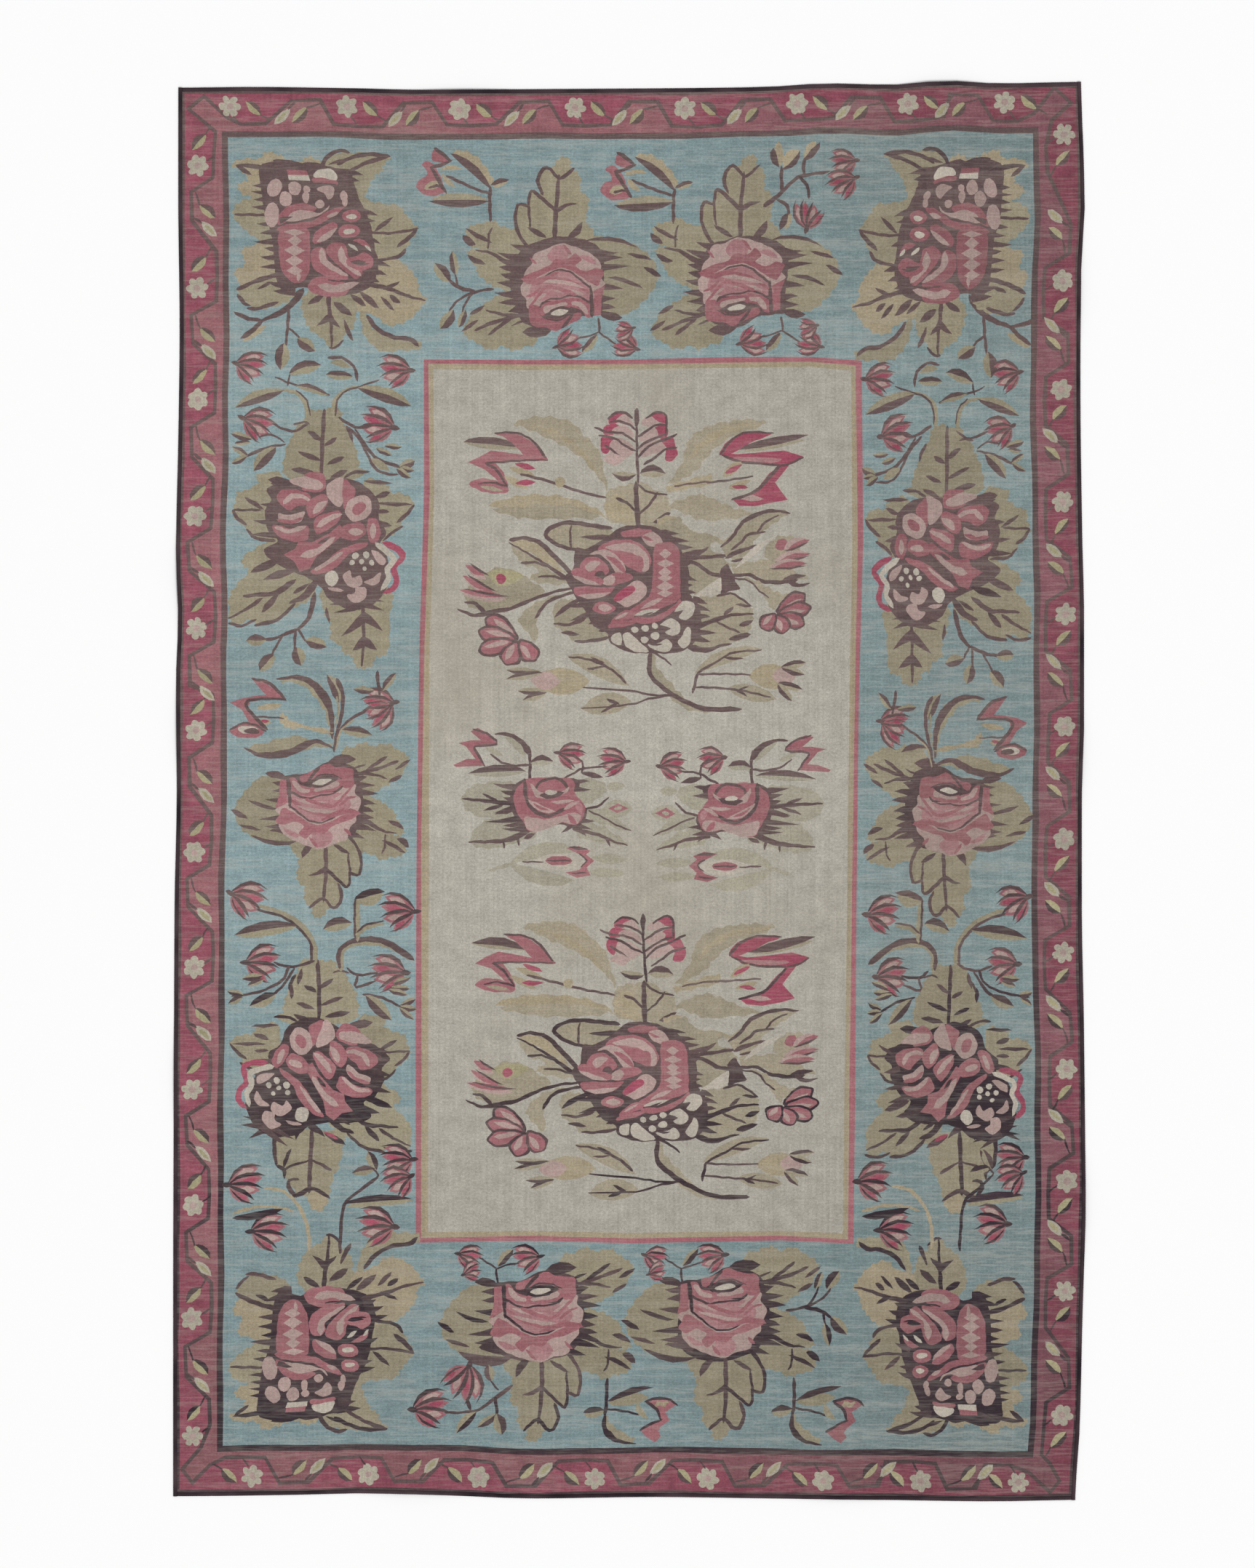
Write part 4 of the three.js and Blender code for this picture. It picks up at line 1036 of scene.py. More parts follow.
def great_petals(d):
    """The large bouquet's petals and seeds."""
    d.form("rosy", -20, 520, 4, 528, 40, 524, 30, 514, -10, 512)
    d.form("pale", 22, 512, 44, 520, 60, 506, 62, 494, 44, 489, 28, 498)
    d.blade("rosy", 20, 512, 46, 502, 6)
    d.form("rosy", -64, 486, -40, 504, 0, 506, 30, 488, 42, 462, 36, 442, 20, 440, -6, 452, -20, 462)
    d.form("pale", -50, 490, -20, 500, 10, 496, 34, 474, 38, 446, 26, 440, 22, 466, 0, 480, -24, 484)
    d.form("rosy", 4, 460, 14, 474, 26, 466, 26, 448, 12, 446)
    d.form("pale", -80, 476, -60, 486, -36, 482, -14, 460, -8, 440, -24, 434, -40, 460, -60, 476)
    d.blade("rosy", -48, 474, -6, 436, 11, 4)
    d.form("rosy", -98, 446, -92, 464, -74, 472, -52, 462, -40, 442, -54, 432, -80, 434)
    d.form("pale", -88, 452, -76, 462, -58, 460, -70, 446, -80, 440)
    d.oval("brown", -58, 434, 10, 8)
    d.form("rosy", -52, 424, -30, 438, -4, 438, 8, 428, -16, 416, -44, 412)
    d.form("pale", -50, 428, -34, 434, -26, 426, -34, 414, -50, 414)
    d.form("rosy", -116, 440, -100, 448, -76, 434, -52, 426, -52, 414, -76, 414, -100, 424)
    d.blade("pale", -114, 434, -58, 414, 10, -3)
    d.form("rosy", -110, 406, -92, 411, -50, 408, -28, 410, -36, 396, -58, 388, -90, 388, -106, 394)
    d.blade("pale", -102, 392, -36, 398, 11, -5)
    d.form("pale", -28, 386, -12, 402, 6, 420, 24, 420, 36, 404, 24, 384, 0, 370, -16, 374)
    d.form("deep", -30, 386, -10, 408, 6, 412, 12, 402, -6, 388, -20, 380)
    d.form("rosy", 46, 484, 56, 496, 84, 496, 98, 480, 100, 440, 100, 400, 96, 384, 60, 366, 20, 352, 0, 360,
            20, 376, 42, 398, 46, 440)
    for y, half_x, half_y in [(474, 13, 10), (455, 18, 9), (437, 13, 10), (426, 15, 8), (410, 18, 10),
                              (396, 16, 7)]:
        d.area("pale", [70 - half_x, y, 70, y + half_y, 70 + half_x, y, 70, y - half_y])
    d.blade("pale", 22, 366, 66, 388, 9)
    d.form("rosy", 10, 350, 50, 352, 90, 376, 98, 386, 100, 374, 70, 350, 40, 338, 10, 340)
    d.blade("cream", 10, 354, 60, 366, 10)
    d.blade("brown", 24, 352, 48, 362, 3)
    d.form("rosy", -72, 366, -58, 379, -34, 374, -26, 364, -40, 354, -62, 356)
    d.oval("pale", -47, 366, 14, 7)
    d.form("rosy", -36, 340, -14, 360, 0, 362, 10, 350, -10, 342, -30, 332)
    d.blade("pale", -28, 344, 0, 358, 7)
    d.form("rosy", -38, 334, -8, 342, 20, 346, 10, 336, -20, 328, -40, 326)
    for x, y, radius in [(11, 325, 7), (31, 328, 8), (50, 334, 7), (50, 314, 9), (30, 306, 8)]:
        d.oval("cream", x, y, radius, radius * 0.85)
    d.form("cream", 60, 336, 82, 348, 98, 336, 98, 322, 84, 314, 70, 322, 80, 330)
    d.form("cream", 88, 360, 104, 380, 124, 378, 126, 360, 110, 344, 96, 350, 104, 364)
    d.form("cream", 95, 300, 104, 316, 112, 332, 120, 322, 118, 298, 106, 290)
    d.form("cream", 36, 296, 60, 302, 72, 308, 84, 298, 80, 286, 60, 284)
    d.blade("brown", 38, 298, 66, 298, 5)
    d.form("cream", -12, 314, 0, 318, 16, 304, 38, 284, 16, 281, -4, 288, -12, 300)
    d.form("cream", -34, 312, -22, 318, -16, 316, -16, 294, -28, 294, -36, 302)


def great_right(d):
    """The leaves, trumpet and five-petalled flower at the right of the large bouquet."""
    d.form("khaki", 184, 488, 210, 520, 250, 552, 290, 560, 316, 558, 296, 540, 272, 522, 250, 500, 240, 480,
            216, 462, 200, 470)
    d.stems("brown", (5, 9, 184, 490, 206, 508, 228, 538, 262, 556), (9, 4, 250, 552, 286, 560, 318, 557),
            (6, 5, 206, 486, 226, 500, 240, 514, 270, 518), (5, 4, 258, 520, 272, 538, 296, 550),
            (10, 5, 196, 470, 216, 480, 240, 488, 262, 492))
    d.blade("brown", 202, 462, 236, 468, 6)
    d.form("khaki", 208, 460, 250, 462, 300, 466, 330, 440, 356, 430, 330, 422, 290, 420, 250, 434, 210, 438)
    d.blade("cream", 212, 448, 296, 512, 11, 4)
    d.form("khaki", 270, 470, 290, 506, 320, 512, 340, 500, 330, 450)
    d.form("rosy", 292, 490, 298, 504, 312, 506, 316, 492, 304, 482)
    for x0, y0, x1, y1 in [(308, 484, 358, 506), (290, 462, 360, 478), (280, 450, 354, 458)]:
        d.blade("pale", x0, y0, x1 - 6, y1 + 2, 15, 4)
        d.blade("rosy", x0 + 8, y0, x1, y1, 12, 1)
        d.blade("brown", x0, y0 - 2, x1 - 2, y1 - 4, 5, -3)
    d.stems("brown", (6, 9, 196, 434, 240, 436, 262, 424, 300, 420, 330, 424), (14, 4, 310, 424, 334, 432,
            348, 432), (12, 3, 318, 422, 336, 412, 358, 418))
    d.form("khaki", 222, 430, 250, 426, 276, 410, 300, 398, 320, 394, 300, 380, 286, 366, 272, 384, 250, 404)
    d.form("ivory", 210, 428, 236, 424, 262, 400, 272, 380, 272, 350, 248, 352, 244, 380, 226, 402)
    d.stem("brown", 4, 4, 204, 430, 240, 424, 258, 404, 276, 392)
    for row in [(292, 360, 350, 394, 36), (294, 358, 362, 366, 34), (294, 354, 350, 334, 36),
                (294, 356, 312, 318, 38), (292, 358, 264, 328, 38)]:
        petal(d, *row)


def great_stem(d):
    """The stem, pale buds and leaves under the large bouquet."""
    d.form("khaki", 48, 282, 56, 252, 84, 222, 108, 194, 140, 170, 190, 164, 140, 160, 100, 176, 60, 220,
            36, 250)
    d.blades("khaki", (-126, 272, 0, 212, 38, 8), (4, 182, -96, 168, 44, -4), (130, 238, 262, 288, 30, 10),
            (196, 206, 290, 188, 34, 0))
    for x0, y0, x1, y1 in [(-82, 222, -200, 222), (236, 232, 330, 230)]:
        d.blade("tan", x0, y0, x1, y1, 52)
        d.blade("pale", (x0 + x1) / 2, y0, x1, y1, 36)
    d.stems("brown", (9, 10, 42, 284, 42, 240, 66, 214, 96, 192, 150, 166, 216, 164), (5, 4, 96, 196,
            50, 196, 0, 204, -94, 210), (5, 3, 84, 196, 40, 188, 0, 176, -96, 170))
    d.blades("brown", (-46, 188, -20, 176, 7), (-58, 162, -20, 180, 7))
    d.stem("brown", 6, 4, -8, 220, -30, 240, -60, 256, -90, 266, -122, 270)
    d.blades("brown", (-80, 268, -50, 256, 5), (-88, 246, -50, 250, 5))
    d.stems("brown", (5, 4, 46, 282, 66, 272, 84, 258), (6, 4, 128, 200, 134, 226, 140, 240, 176, 262,
            210, 280, 262, 284))
    d.blade("brown", 184, 268, 228, 266, 6)
    d.stems("brown", (5, 4, 136, 236, 180, 235, 238, 234), (5, 4, 134, 210, 180, 206, 230, 200, 278, 190))
    d.blades("brown", (206, 206, 232, 190, 6), (210, 200, 236, 210, 5))
    for *ends, dark in [(-176, 238, -246, 242, 1), (-176, 238, -248, 224, -1), (-166, 200, -224, 200, 1),
                        (-168, 198, -214, 182, -1), (302, 250, 352, 258, 1), (302, 250, 348, 234, -1),
                        (292, 218, 342, 206, 1), (292, 216, 322, 184, -1)]:
        d.leaf(*ends, 15, 0, dark)


def great_bouquet(d):
    """The ivory field's large bouquet, drawn where it lies in the upper half."""
    great_plume(d)
    field_tulip(d)
    right_tulip(d)
    d.form("tan", 52, 545, 92, 550, 112, 524, 178, 508, 192, 498, 150, 500, 100, 500, 60, 520)
    great_stem(d)
    great_leaves(d)
    great_rose(d)


def small_bouquet(d):
    """The ivory field's small bouquet."""
    d.area("rosy", [-163, 122, -147, 128, -127, 118, -105, 96, -149, 92, -157, 88, -133, 56, -191, 50,
            -197, 54, -169, 66, -151, 68, -171, 92, -187, 98, -161, 104, -141, 104])
    d.stem("brown", 4, 5, -157, 126, -129, 118, -107, 97, -153, 92, -145, 76, -133, 56)
    d.blade("khaki", -91, 112, -49, 72, 20, 7)
    d.stem("brown", 4, 14, -111, 117, -83, 115, -57, 100, -43, 80)
    d.blade("tan", -131, 92, -95, 74, 12)
    d.stems("brown", (4, 5, -119, 78, -97, 62, -69, 55, -41, 57), (6, 6, -43, 92, -41, 60, -44, 20))
    d.leaves((-49, 44, -167, 38, 22, -4, -1), (-41, 60, 5, 62, 20, 4, 1))
    head(d, 15, 78, -2, 0.85)
    head(d, 143, 58, 168, 0.9, -1)
    d.stems("brown", (5, 3, 59, 42, 60, 62, 43, 80), (5, 4, 25, 30, 45, 40, 63, 50, 107, 53))
    d.blade("brown", 57, 42, 101, 30, 11)
    d.form("khaki", -171, 8, -135, 22, -81, 24, -55, -10, -71, -44, -107, -50, -157, -44, -181, -20)
    d.form("khaki", -167, -96, -145, -60, -107, -46, -57, -56, -29, -86, -67, -98, -109, -110, -145, -110)
    d.form("tan", 51, 26, 95, 24, 109, 4, 93, -12, 67, -24, 45, -10)
    d.oval("tan", 125, 12, 18, 9)
    d.form("khaki", 59, -36, 95, -30, 125, -46, 155, -74, 115, -66, 83, -58)
    d.form("khaki", 51, -60, 95, -64, 135, -86, 151, -102, 115, -100, 59, -92)
    d.form("brown", -77, 12, -53, 28, 43, 29, 55, 14, 43, -6, 71, -36, 63, -62, 47, -72, 15, -66, -41, -74,
            -67, -60, -83, -30, -83, -6)
    d.spikes(13, (-75, 14, -117, 20), (-77, 2, -103, 6), (-77, -12, -99, -6), (43, 20, 75, 24),
            (43, 6, 79, 5), (-77, -28, -119, -38), (-67, -50, -137, -56), (-60, -60, -101, -64),
            (-53, -70, -103, -71), (55, -58, 89, -58), (49, -68, 83, -74), (43, -66, 21, -82),
            (51, -72, 71, -88))
    d.blade("brown", -57, -92, -33, -81, 9)
    d.stem("brown", 4, 10, -179, -12, -135, -14, -75, -20)
    d.blades("brown", (-141, 0, -107, -14, 6), (-139, -34, -95, -20, 7), (-117, -40, -71, -32, 7))
    d.stem("brown", 4, 14, -167, -98, -125, -97, -85, -92, -45, -74)
    d.blades("brown", (-98, -96, -97, -112, 5), (-69, -82, -67, -108, 6))
    d.stems("brown", (5, 4, 63, -34, 91, -28, 111, -10), (4, 3, 75, -38, 105, -50, 131, -64, 157, -74),
            (8, 3, 47, -76, 95, -84, 125, -96, 151, -102))
    d.blade("brown", 107, -84, 119, -106, 5)
    d.form("rosy", -73, 6, -59, 20, -41, 30, 19, 30, 43, 24, 45, 2, 55, -14, 67, -30, 65, -48, 53, -66,
            31, -64, 5, -60, -17, -76, -45, -78, -57, -60, -71, -36, -77, -14)
    d.form("pale", -53, -48, -35, -50, -5, -54, 45, -42, 59, -50, 51, -66, 25, -62, 5, -68, -21, -78,
            -45, -76, -55, -62)
    d.blade("blush", 51, -20, 61, -44, 14)
    d.blade("rosy", 33, -46, 51, -66, 12)
    d.stems("brown", (8, 7, -53, 26, -51, -10, -35, -36, -5, -48, 27, -34), (4, 7, -31, 2, -27, 18, -5, 28,
            19, 26, 33, 6))
    d.form("pale", -41, 20, -35, -4, -21, -12, 5, -10, 29, 0, 35, 12, 21, 2, -5, -4, -25, 4)
    d.blade("brown", -25, -6, 25, 0, 15, -3)
    d.oval("cream", -1, 0, 13, 5)
    d.blade("pale", -49, -12, 9, -40, 13, -6)
    d.blade("rosy", -39, -20, -3, -37, 6, -3)
    d.blades("pale", (-1, -20, 45, -16, 8, -2), (25, -36, 57, -18, 9, 2))
    d.blade("khaki", 103, -30, 161, -32, 34)
    d.area("rosy", [113, -32, 131, -21, 153, -31, 131, -41])
    d.oval("tan", 132, -31, 8, 4)
    hanging_bud(d)


def hanging_bud(d):
    """The pale bud with a rosy crown under the small bouquet."""
    d.blades("tan", (-85, -140, 55, -118, 30, 14), (-85, -144, 47, -176, 30, -10),
            (-129, -158, -61, -136, 9), (81, -130, 153, -130, 20), (73, -158, 149, -158, 20))
    d.blade("cream", -35, -138, 71, -140, 34)
    d.oval("rosy", 15, -137, 27, 9)
    d.stems("brown", (3, 3, -7, -137, 37, -137), (4, 3, -59, -138, -17, -139))
    d.area("rosy", [31, -112, 57, -108, 79, -116, 71, -124, 87, -136, 71, -150, 77, -164, 49, -170, 27, -160,
            55, -154, 63, -146, 69, -136, 59, -126])
    d.blade("brown", 35, -111, 75, -114, 6)
    d.stem("brown", 4, 3, 57, -124, 71, -136, 59, -148)
    d.blade("brown", 37, -162, 71, -160, 4)


# The border


# The flowers' places on each side of the border, going clockwise from the side's start, from its middle.
BORDER_FLOWERS = {
    "left": [-1282, -1052, -823, -592, -352, -118, 122, 325, 552, 780, 1005, 1250],
    "top": [-800, -567, -340, -110, 110, 335, 555, 752],
    "right": [-1300, -1010, -795, -573, -350, -128, 95, 320, 550, 772, 990, 1235],
    "bottom": [-790, -592, -397, -168, 62, 290, 515, 745],
}
VINE_INNER = 72.0
VINE_OUTER = 27.0
VINE_HALF = 3.7
FLOWER_NOTCH = 13.5
FLOWER_SWELL = 9.0
DARK_EDGE = 12.5
BAND_WIDTH = 88.0
LINE_WIDTH = 12.0
# The vine round a corner: insets from the side that it leaves and from the side that it comes to.
VINE_CORNERS = {
    "left": [(74, 88), (55, 72), (20, 42), (52, 18), (98, 60)],
    "top": [(62, 96), (12, 54), (42, 22), (76, 62)],
    "right": [(72, 92), (55, 76), (32, 38), (50, 16), (95, 58)],
    "bottom": [(76, 104), (62, 74), (27, 38), (53, 18), (98, 56)],
}


def border_flower(d, x, y, turn):
    """A pale flower of six petals: a circle whose radius swells six times, each swell round and each notch
    sharp."""
    angle = np.arange(36) * 2 * math.pi / 36
    radius = FLOWER_NOTCH + FLOWER_SWELL * np.abs(np.cos(3 * (angle + turn))) ** 0.6
    d.area("bone", np.stack([x + radius * np.cos(angle), y + radius * np.sin(angle)], axis=1))
    d.oval("pale", x, y, 7, 7)


def side_spot(side, way, inset):
    """A way along a side in mm, clockwise, and an inset from the outline, as a point of the rug."""
    if side == "left":
        return on_floor(inset / WIDTH, (way + LENGTH / 2) / LENGTH)
    if side == "right":
        return on_floor(1 - inset / WIDTH, (LENGTH / 2 - way) / LENGTH)
    if side == "top":
        return on_floor((way + WIDTH / 2) / WIDTH, 1 - inset / LENGTH)
    return on_floor((WIDTH / 2 - way) / WIDTH, inset / LENGTH)


def vine_line():
    """The stepped vine all round the border, clockwise: past a flower it runs near the field, between flowers
    near the edge, and round each corner by that corner's own points."""
    line = []
    for side, flowers in BORDER_FLOWERS.items():
        reach = (LENGTH if side in ("left", "right") else WIDTH) / 2
        steps = []
        for number, flower in enumerate(flowers):
            inner = VINE_INNER + 3 * math.sin(2.1 * number)
            steps += [(flower - 26, inner)] * (number > 0) + [(flower + 22, inner + 2)]
            if number < len(flowers) - 1:
                gap = flowers[number + 1] - flower
                steps += [(flower + 72, inner), (flower + gap - 112, VINE_OUTER)]
                steps += [(flower + gap - 54, VINE_OUTER - 2)]
        steps += [(reach - after, inset) for inset, after in VINE_CORNERS[side]]
        line += [side_spot(side, way, inset) for way, inset in steps]
    return np.array(line)


def widened(line, out):
    """A closed clockwise line moved outwards: each point along the mean of its two sides' normals."""
    run = np.roll(line, -1, axis=0) - line
    run /= np.linalg.norm(run, axis=1, keepdims=True)
    normal = np.stack([-run[:, 1], run[:, 0]], axis=1)
    mean = normal + np.roll(normal, 1, axis=0)
    return line + mean * out * 2 / (mean**2).sum(axis=1, keepdims=True)


def border_sprigs(areas, side):
    """The flowers and leaves along one side of the vine."""
    def spot(way, inset):
        return side_spot(side, flower + way, inset)

    d = Brush(areas, -np.array(DESIGN_MIDDLE))
    flowers = BORDER_FLOWERS[side]
    for number, flower in enumerate(flowers):
        border_flower(d, *spot(0, 38), 0.4 * number)
        gap = flowers[number + 1] - flower if number < len(flowers) - 1 else 0
        d.stem("brown", 4, 4, spot(8, 58), spot(18, VINE_INNER))
        root, tip = spot(62, 54), spot(32, 26)
        d.blade("olive", *root, *tip, 20)
        d.blade("brown", *root, *tip, 21, -2, (0, 1) if number % 3 else (0, 0.8))
        d.stem("brown", 4, 4, spot(80, 64), root)
        if gap:
            root, tip = spot(gap - 80, 42), spot(gap - 108, 72)
            d.blade("olive", *root, *tip, 19)
            d.blade("brown", *root, *tip, 20, 2, (1, 0))
            d.stem("brown", 4, 4, spot(gap - 54, 34), root)
            d.blade("bone", *spot(gap - 114, 44), *spot(gap - 144, 74), 18)
            d.blade("olive", *spot(gap - 120, 50), *spot(gap - 140, 70), 8)
            d.blade("brown", *spot(gap - 104, 28), *spot(gap - 118, 46), 6)


def ground(areas):
    """The flat grounds: a dark edge, the red border, its vine, its inner dark line, the blue ground and the
    ivory field."""
    vine = vine_line()
    areas.append(("brown", cloth_outline()))
    for dye, ring in [
            ("red", ring_at(DARK_EDGE)), ("brown", widened(vine, VINE_HALF)),
            ("strip", widened(vine, -VINE_HALF)), ("brown", ring_at(BAND_WIDTH)),
            ("blue", ring_at(BAND_WIDTH + LINE_WIDTH))]:
        areas.append((dye, ring + hand_drift(ring) * 0.6))
    field = Brush(areas)
    field.area("pink", [-410, 864, -200, 862, 0, 864, 200, 866, 360, 870, 462, 862, 462, 500, 458, 200,
            452, -200, 448, -600, 446, -897, 300, -893, 0, -897, -200, -894, -427, -895, -426, -500,
            -425, -100, -418, 300, -412, 600])
    field.area("tan", [-401, 854, -200, 852, 0, 854, 200, 856, 360, 860, 452, 852, 452, 500, 449, 200,
            443, -200, 438, -600, 436, -887, 300, -883, 0, -886, -200, -884, -417, -885, -416, -500,
            -415, -100, -408, 300, -402, 600])
    field.area("ivory", [-391, 844, -200, 842, 0, 843, 200, 845, 360, 849, 443, 841, 442, 500, 439, 200,
            433, -200, 428, -600, 426, -876, 300, -873, 0, -875, -200, -873, -402, -874, -402, -500,
            -401, -100, -396, 300, -392, 600])


def draw_design():
    """Every area of the design in the order that it is painted. Each row gives a motif's place and its
    scales across and along, negative where it is mirrored."""
    areas = []
    ground(areas)
    for side in BORDER_FLOWERS:
        border_sprigs(areas, side)
    for to, mirror in [((-655, 1100), (1, 1)), ((681, 1086), (-1, 1))]:
        corner_branch(Brush(areas, to, mirror))
    for to, mirror in [((-655, 1100), (1, 1)), ((670.04, 1093.8), (-0.92, 1.06)), ((-660, -1094), (1, -1)),
                       ((669.8, -1102), (-0.9, -1))]:
        corner_flower(Brush(areas, to, mirror))
    for fold, *places in [
            (24, ((-180, -1050), (1, 1)), ((-180, -1050), (1, 1))),
            (12, ((188, -1047), (1, 1)), ((188, -1042), (0.95, 0.96))),
            (9, ((-145, 1023), (-1, -1)), ((-137, 1012), (-0.88, -0.95))),
            (9, ((225, 1026), (-0.97, -1)), ((218, 1024), (-0.93, -0.98))),
            (12, ((-610, -28), (0.9, 0.9)), ((-616, -32), (0.92, 0.93))),
            (12, ((628, -40), (-0.86, 0.93)), ((641, -48), (-0.85, 0.91)))]:
        leaves, petals = (Brush(areas, to, mirror) for to, mirror in places)
        rose(leaves, petals, fold)
    for to in [(-40, -1230), (332, -1230)]:
        tulip(Brush(areas, to))
    for to in [(-340, 1230), (26, 1224)]:
        upper_tulip(Brush(areas, to))
    for to, mirror in [((-265, -945), (1, 1)), ((105, -945), (1, 1)), ((-60, 912), (-1, -1)),
                       ((305, 915), (-1, -1))]:
        small_pair(Brush(areas, to, mirror))
    double_sprig(Brush(areas, (-320, -1210)))
    upper_sprig(Brush(areas, (350, 1200)))
    for to, mirror in [((390, -1030), (1, 1)), ((-350, 1004), (-1, -1))]:
        bud_sprig(Brush(areas, to, mirror))
    for to, mirror in [((-605, 500), (1, 1)), ((626, 466), (-0.91, 1))]:
        d = Brush(areas, to, mirror)
        side_long_leaf(d)
        side_leaves(d, d)
        berry_sprig(d)
        side_flower(d)
    for to, mirror, flower_to, turn, leaf_to, side in [
            ((-625, -570), (-1.0, 0.9), (-620, -580), -22, (-637, -700), 1),
            ((642, -580), (0.9, 0.9), (640, -586), 20, (660, -704), -1)]:
        flower = Brush(areas, flower_to, (mirror[0], 1), turn, 0.97)
        stepped_leaf(Brush(areas, leaf_to, (side, 1)))
        side_leaves(Brush(areas, to, mirror), flower)
        side_flower(flower)
    for to, mirror in [((-608, 760), (1, 1)), ((622, 744), (-0.88, 1))]:
        sprig_left(Brush(areas, to, mirror))
        sprig_right(Brush(areas, to, mirror))
    for motif, rows in [(middle_sprigs, [((-600, -310), (1, 1)), ((626, -316), (-0.88, 1))]),
                        (end_sprigs, [((-620, -830), (1, 1)), ((618, -826), (0.9, 1))]),
                        (side_tulip, [((-600, 150), (1, 1)), ((616, 112), (-0.88, 1))])]:
        for to, mirror in rows:
            motif(Brush(areas, to, mirror))
    great, small = [], []
    for to, mirror in [((0, 0), (1, 1)), ((15, -959), (1, 0.94))]:
        great_bouquet(Brush(great, to, mirror))
    for to, mirror in [((-155, 0), (1, 1)), ((203, -10), (-1, 1))]:
        small_bouquet(Brush(small, to, mirror))
    for part, in_field in [(great, {"khaki": "sand"}), (small, {"khaki": "faint", "tan": "faint"})]:
        areas += [(in_field.get(dye, dye), form) for dye, form in part]
    return areas


# The cloth's mesh


def inside(polygon, points):
    """Even-odd test: how many of the polygon's sides lie to the right of each point, counted by twos."""
    x, y = points[:, 0][:, None], points[:, 1][:, None]
    x0, y0 = polygon[:, 0][None], polygon[:, 1][None]
    x1, y1 = np.roll(polygon[:, 0], -1)[None], np.roll(polygon[:, 1], -1)[None]
    spans = (y0 > y) != (y1 > y)
    with np.errstate(divide="ignore", invalid="ignore"):
        crossing = x0 + (y - y0) * (x1 - x0) / (y1 - y0)
    return (spans & (x < crossing)).sum(axis=1) % 2 == 1


def ripple_grid(step=26.0):
    """Points of an even grid where the cloth lifts or is about to."""
    x = np.arange(-WIDTH / 2 + step, WIDTH / 2 - step / 2, step)
    y = np.arange(-LENGTH / 2 + step, LENGTH / 2 - step / 2, step)
    points = np.stack(np.meshgrid(x, y), axis=-1).reshape(-1, 2)
    near = np.zeros(len(points), bool)
    for dx, dy in [(0, 0), (step, 0), (-step, 0), (0, step), (0, -step)]:
        near |= lift_at(points + (dx, dy)) > 0.02
    return points[near]


def span_of(polygon):
    """The area that a polygon spans: half the sum of the cross products of its corners."""
    after = np.roll(polygon, -1, axis=0)
    return abs(float((polygon[:, 0] * after[:, 1] - after[:, 0] * polygon[:, 1]).sum())) / 2


def triangulate(areas, least=0.0):
    """All areas' outlines cut into triangles that no outline crosses, and the area on top of each. Areas
    smaller than the least one are left out."""
    outline = cloth_outline()
    points, edges, start = [], [], 0
    spans = np.array([span_of(polygon) for _, polygon in areas])
    for polygon in [polygon for (_, polygon), span in zip(areas, spans) if span >= least]:
        count = len(polygon)
        points.append(polygon)
        index = np.arange(count)
        edges.append(np.stack([start + index, start + (index + 1) % count], axis=1))
        start += count
    grid = ripple_grid()
    points.append(grid[inside(ring_at(30), grid)])
    flat = np.concatenate(points)
    pairs = np.concatenate(edges)
    result = delaunay_2d_cdt([Vector(p) for p in flat.tolist()], pairs.tolist(), [], 0, 0.02, False)
    corners = np.array([tuple(v) for v in result[0]])
    triangles = np.array(result[2])
    middles = corners[triangles].mean(axis=1)
    kept = inside(outline, middles)
    triangles, middles = triangles[kept], middles[kept]
    used, renumbered = np.unique(triangles, return_inverse=True)
    corners, triangles = corners[used], renumbered.reshape(-1, 3)
    order = np.argsort(middles[:, 0])
    sorted_x = middles[order, 0]
    top = np.zeros(len(triangles), int)
    for number, (_, polygon) in enumerate(areas):
        if spans[number] < least:
            continue
        low, high = polygon.min(axis=0), polygon.max(axis=0)
        first, last = np.searchsorted(sorted_x, [low[0], high[0]])
        near = order[first:last]
        near = near[(middles[near, 1] >= low[1]) & (middles[near, 1] <= high[1])]
        if len(near):
            top[near[inside(polygon, middles[near])]] = number
    return corners, triangles, top


# How much darker or paler a ground lies along the rug, by its place along the length.
BANDS = {
    "blue": [(-1300, -0.09), (-1150, -0.11), (-980, -0.04), (-880, -0.1), (-780, 0.0), (-640, -0.04),
             (-450, 0.05), (-250, 0.1), (-60, 0.1), (120, 0.04), (240, 0.0), (340, 0.06), (420, 0.1),
             (600, 0.1), (800, 0.12), (950, 0.08), (1050, 0.0), (1180, -0.02), (1290, 0.0)],
    "red": [(-1400, -0.12), (-700, -0.14), (0, -0.11), (700, -0.09), (1400, -0.08)],
    "strip": [(-1400, -0.18), (-700, -0.13), (0, -0.09), (1400, -0.04)],
    "ivory": [(-900, -0.06), (-400, 0.0), (0, 0.07), (300, 0.03), (900, -0.03)],
}


# How much darker a dye gets towards the right side, the lower end and the upper end: partly painted shade and
# partly wear.
SHADE_AND_WEAR_DARKENING = {
    "red": (0.2, 0.08, 0.06),
    "strip": (0.1, 0.13, 0.12),
    "rosy": (0.18, 0.07, 0.07),
    "deep": (0.18, 0.07, 0.07),
    "blush": (0.16, 0.06, 0.06),
    "pale": (0.14, 0.06, 0.05),
    "brown": (0.08, 0.0, 0.05),
    "khaki": (0.11, 0.09, 0.02),
    "tan": (0.1, 0.08, 0.02),
    "blue": (0.0, 0.04, 0.06),
    "ivory": (0.08, 0.06, 0.02),
    "bone": (0.1, 0.05, 0.03),
}

# How far the right side's change of tone spreads from the middle, and where the ends' change starts and how
# far it spreads, in mm.
RIGHT_SPAN = 600.0
END_START = 850.0
END_SPAN = 150.0
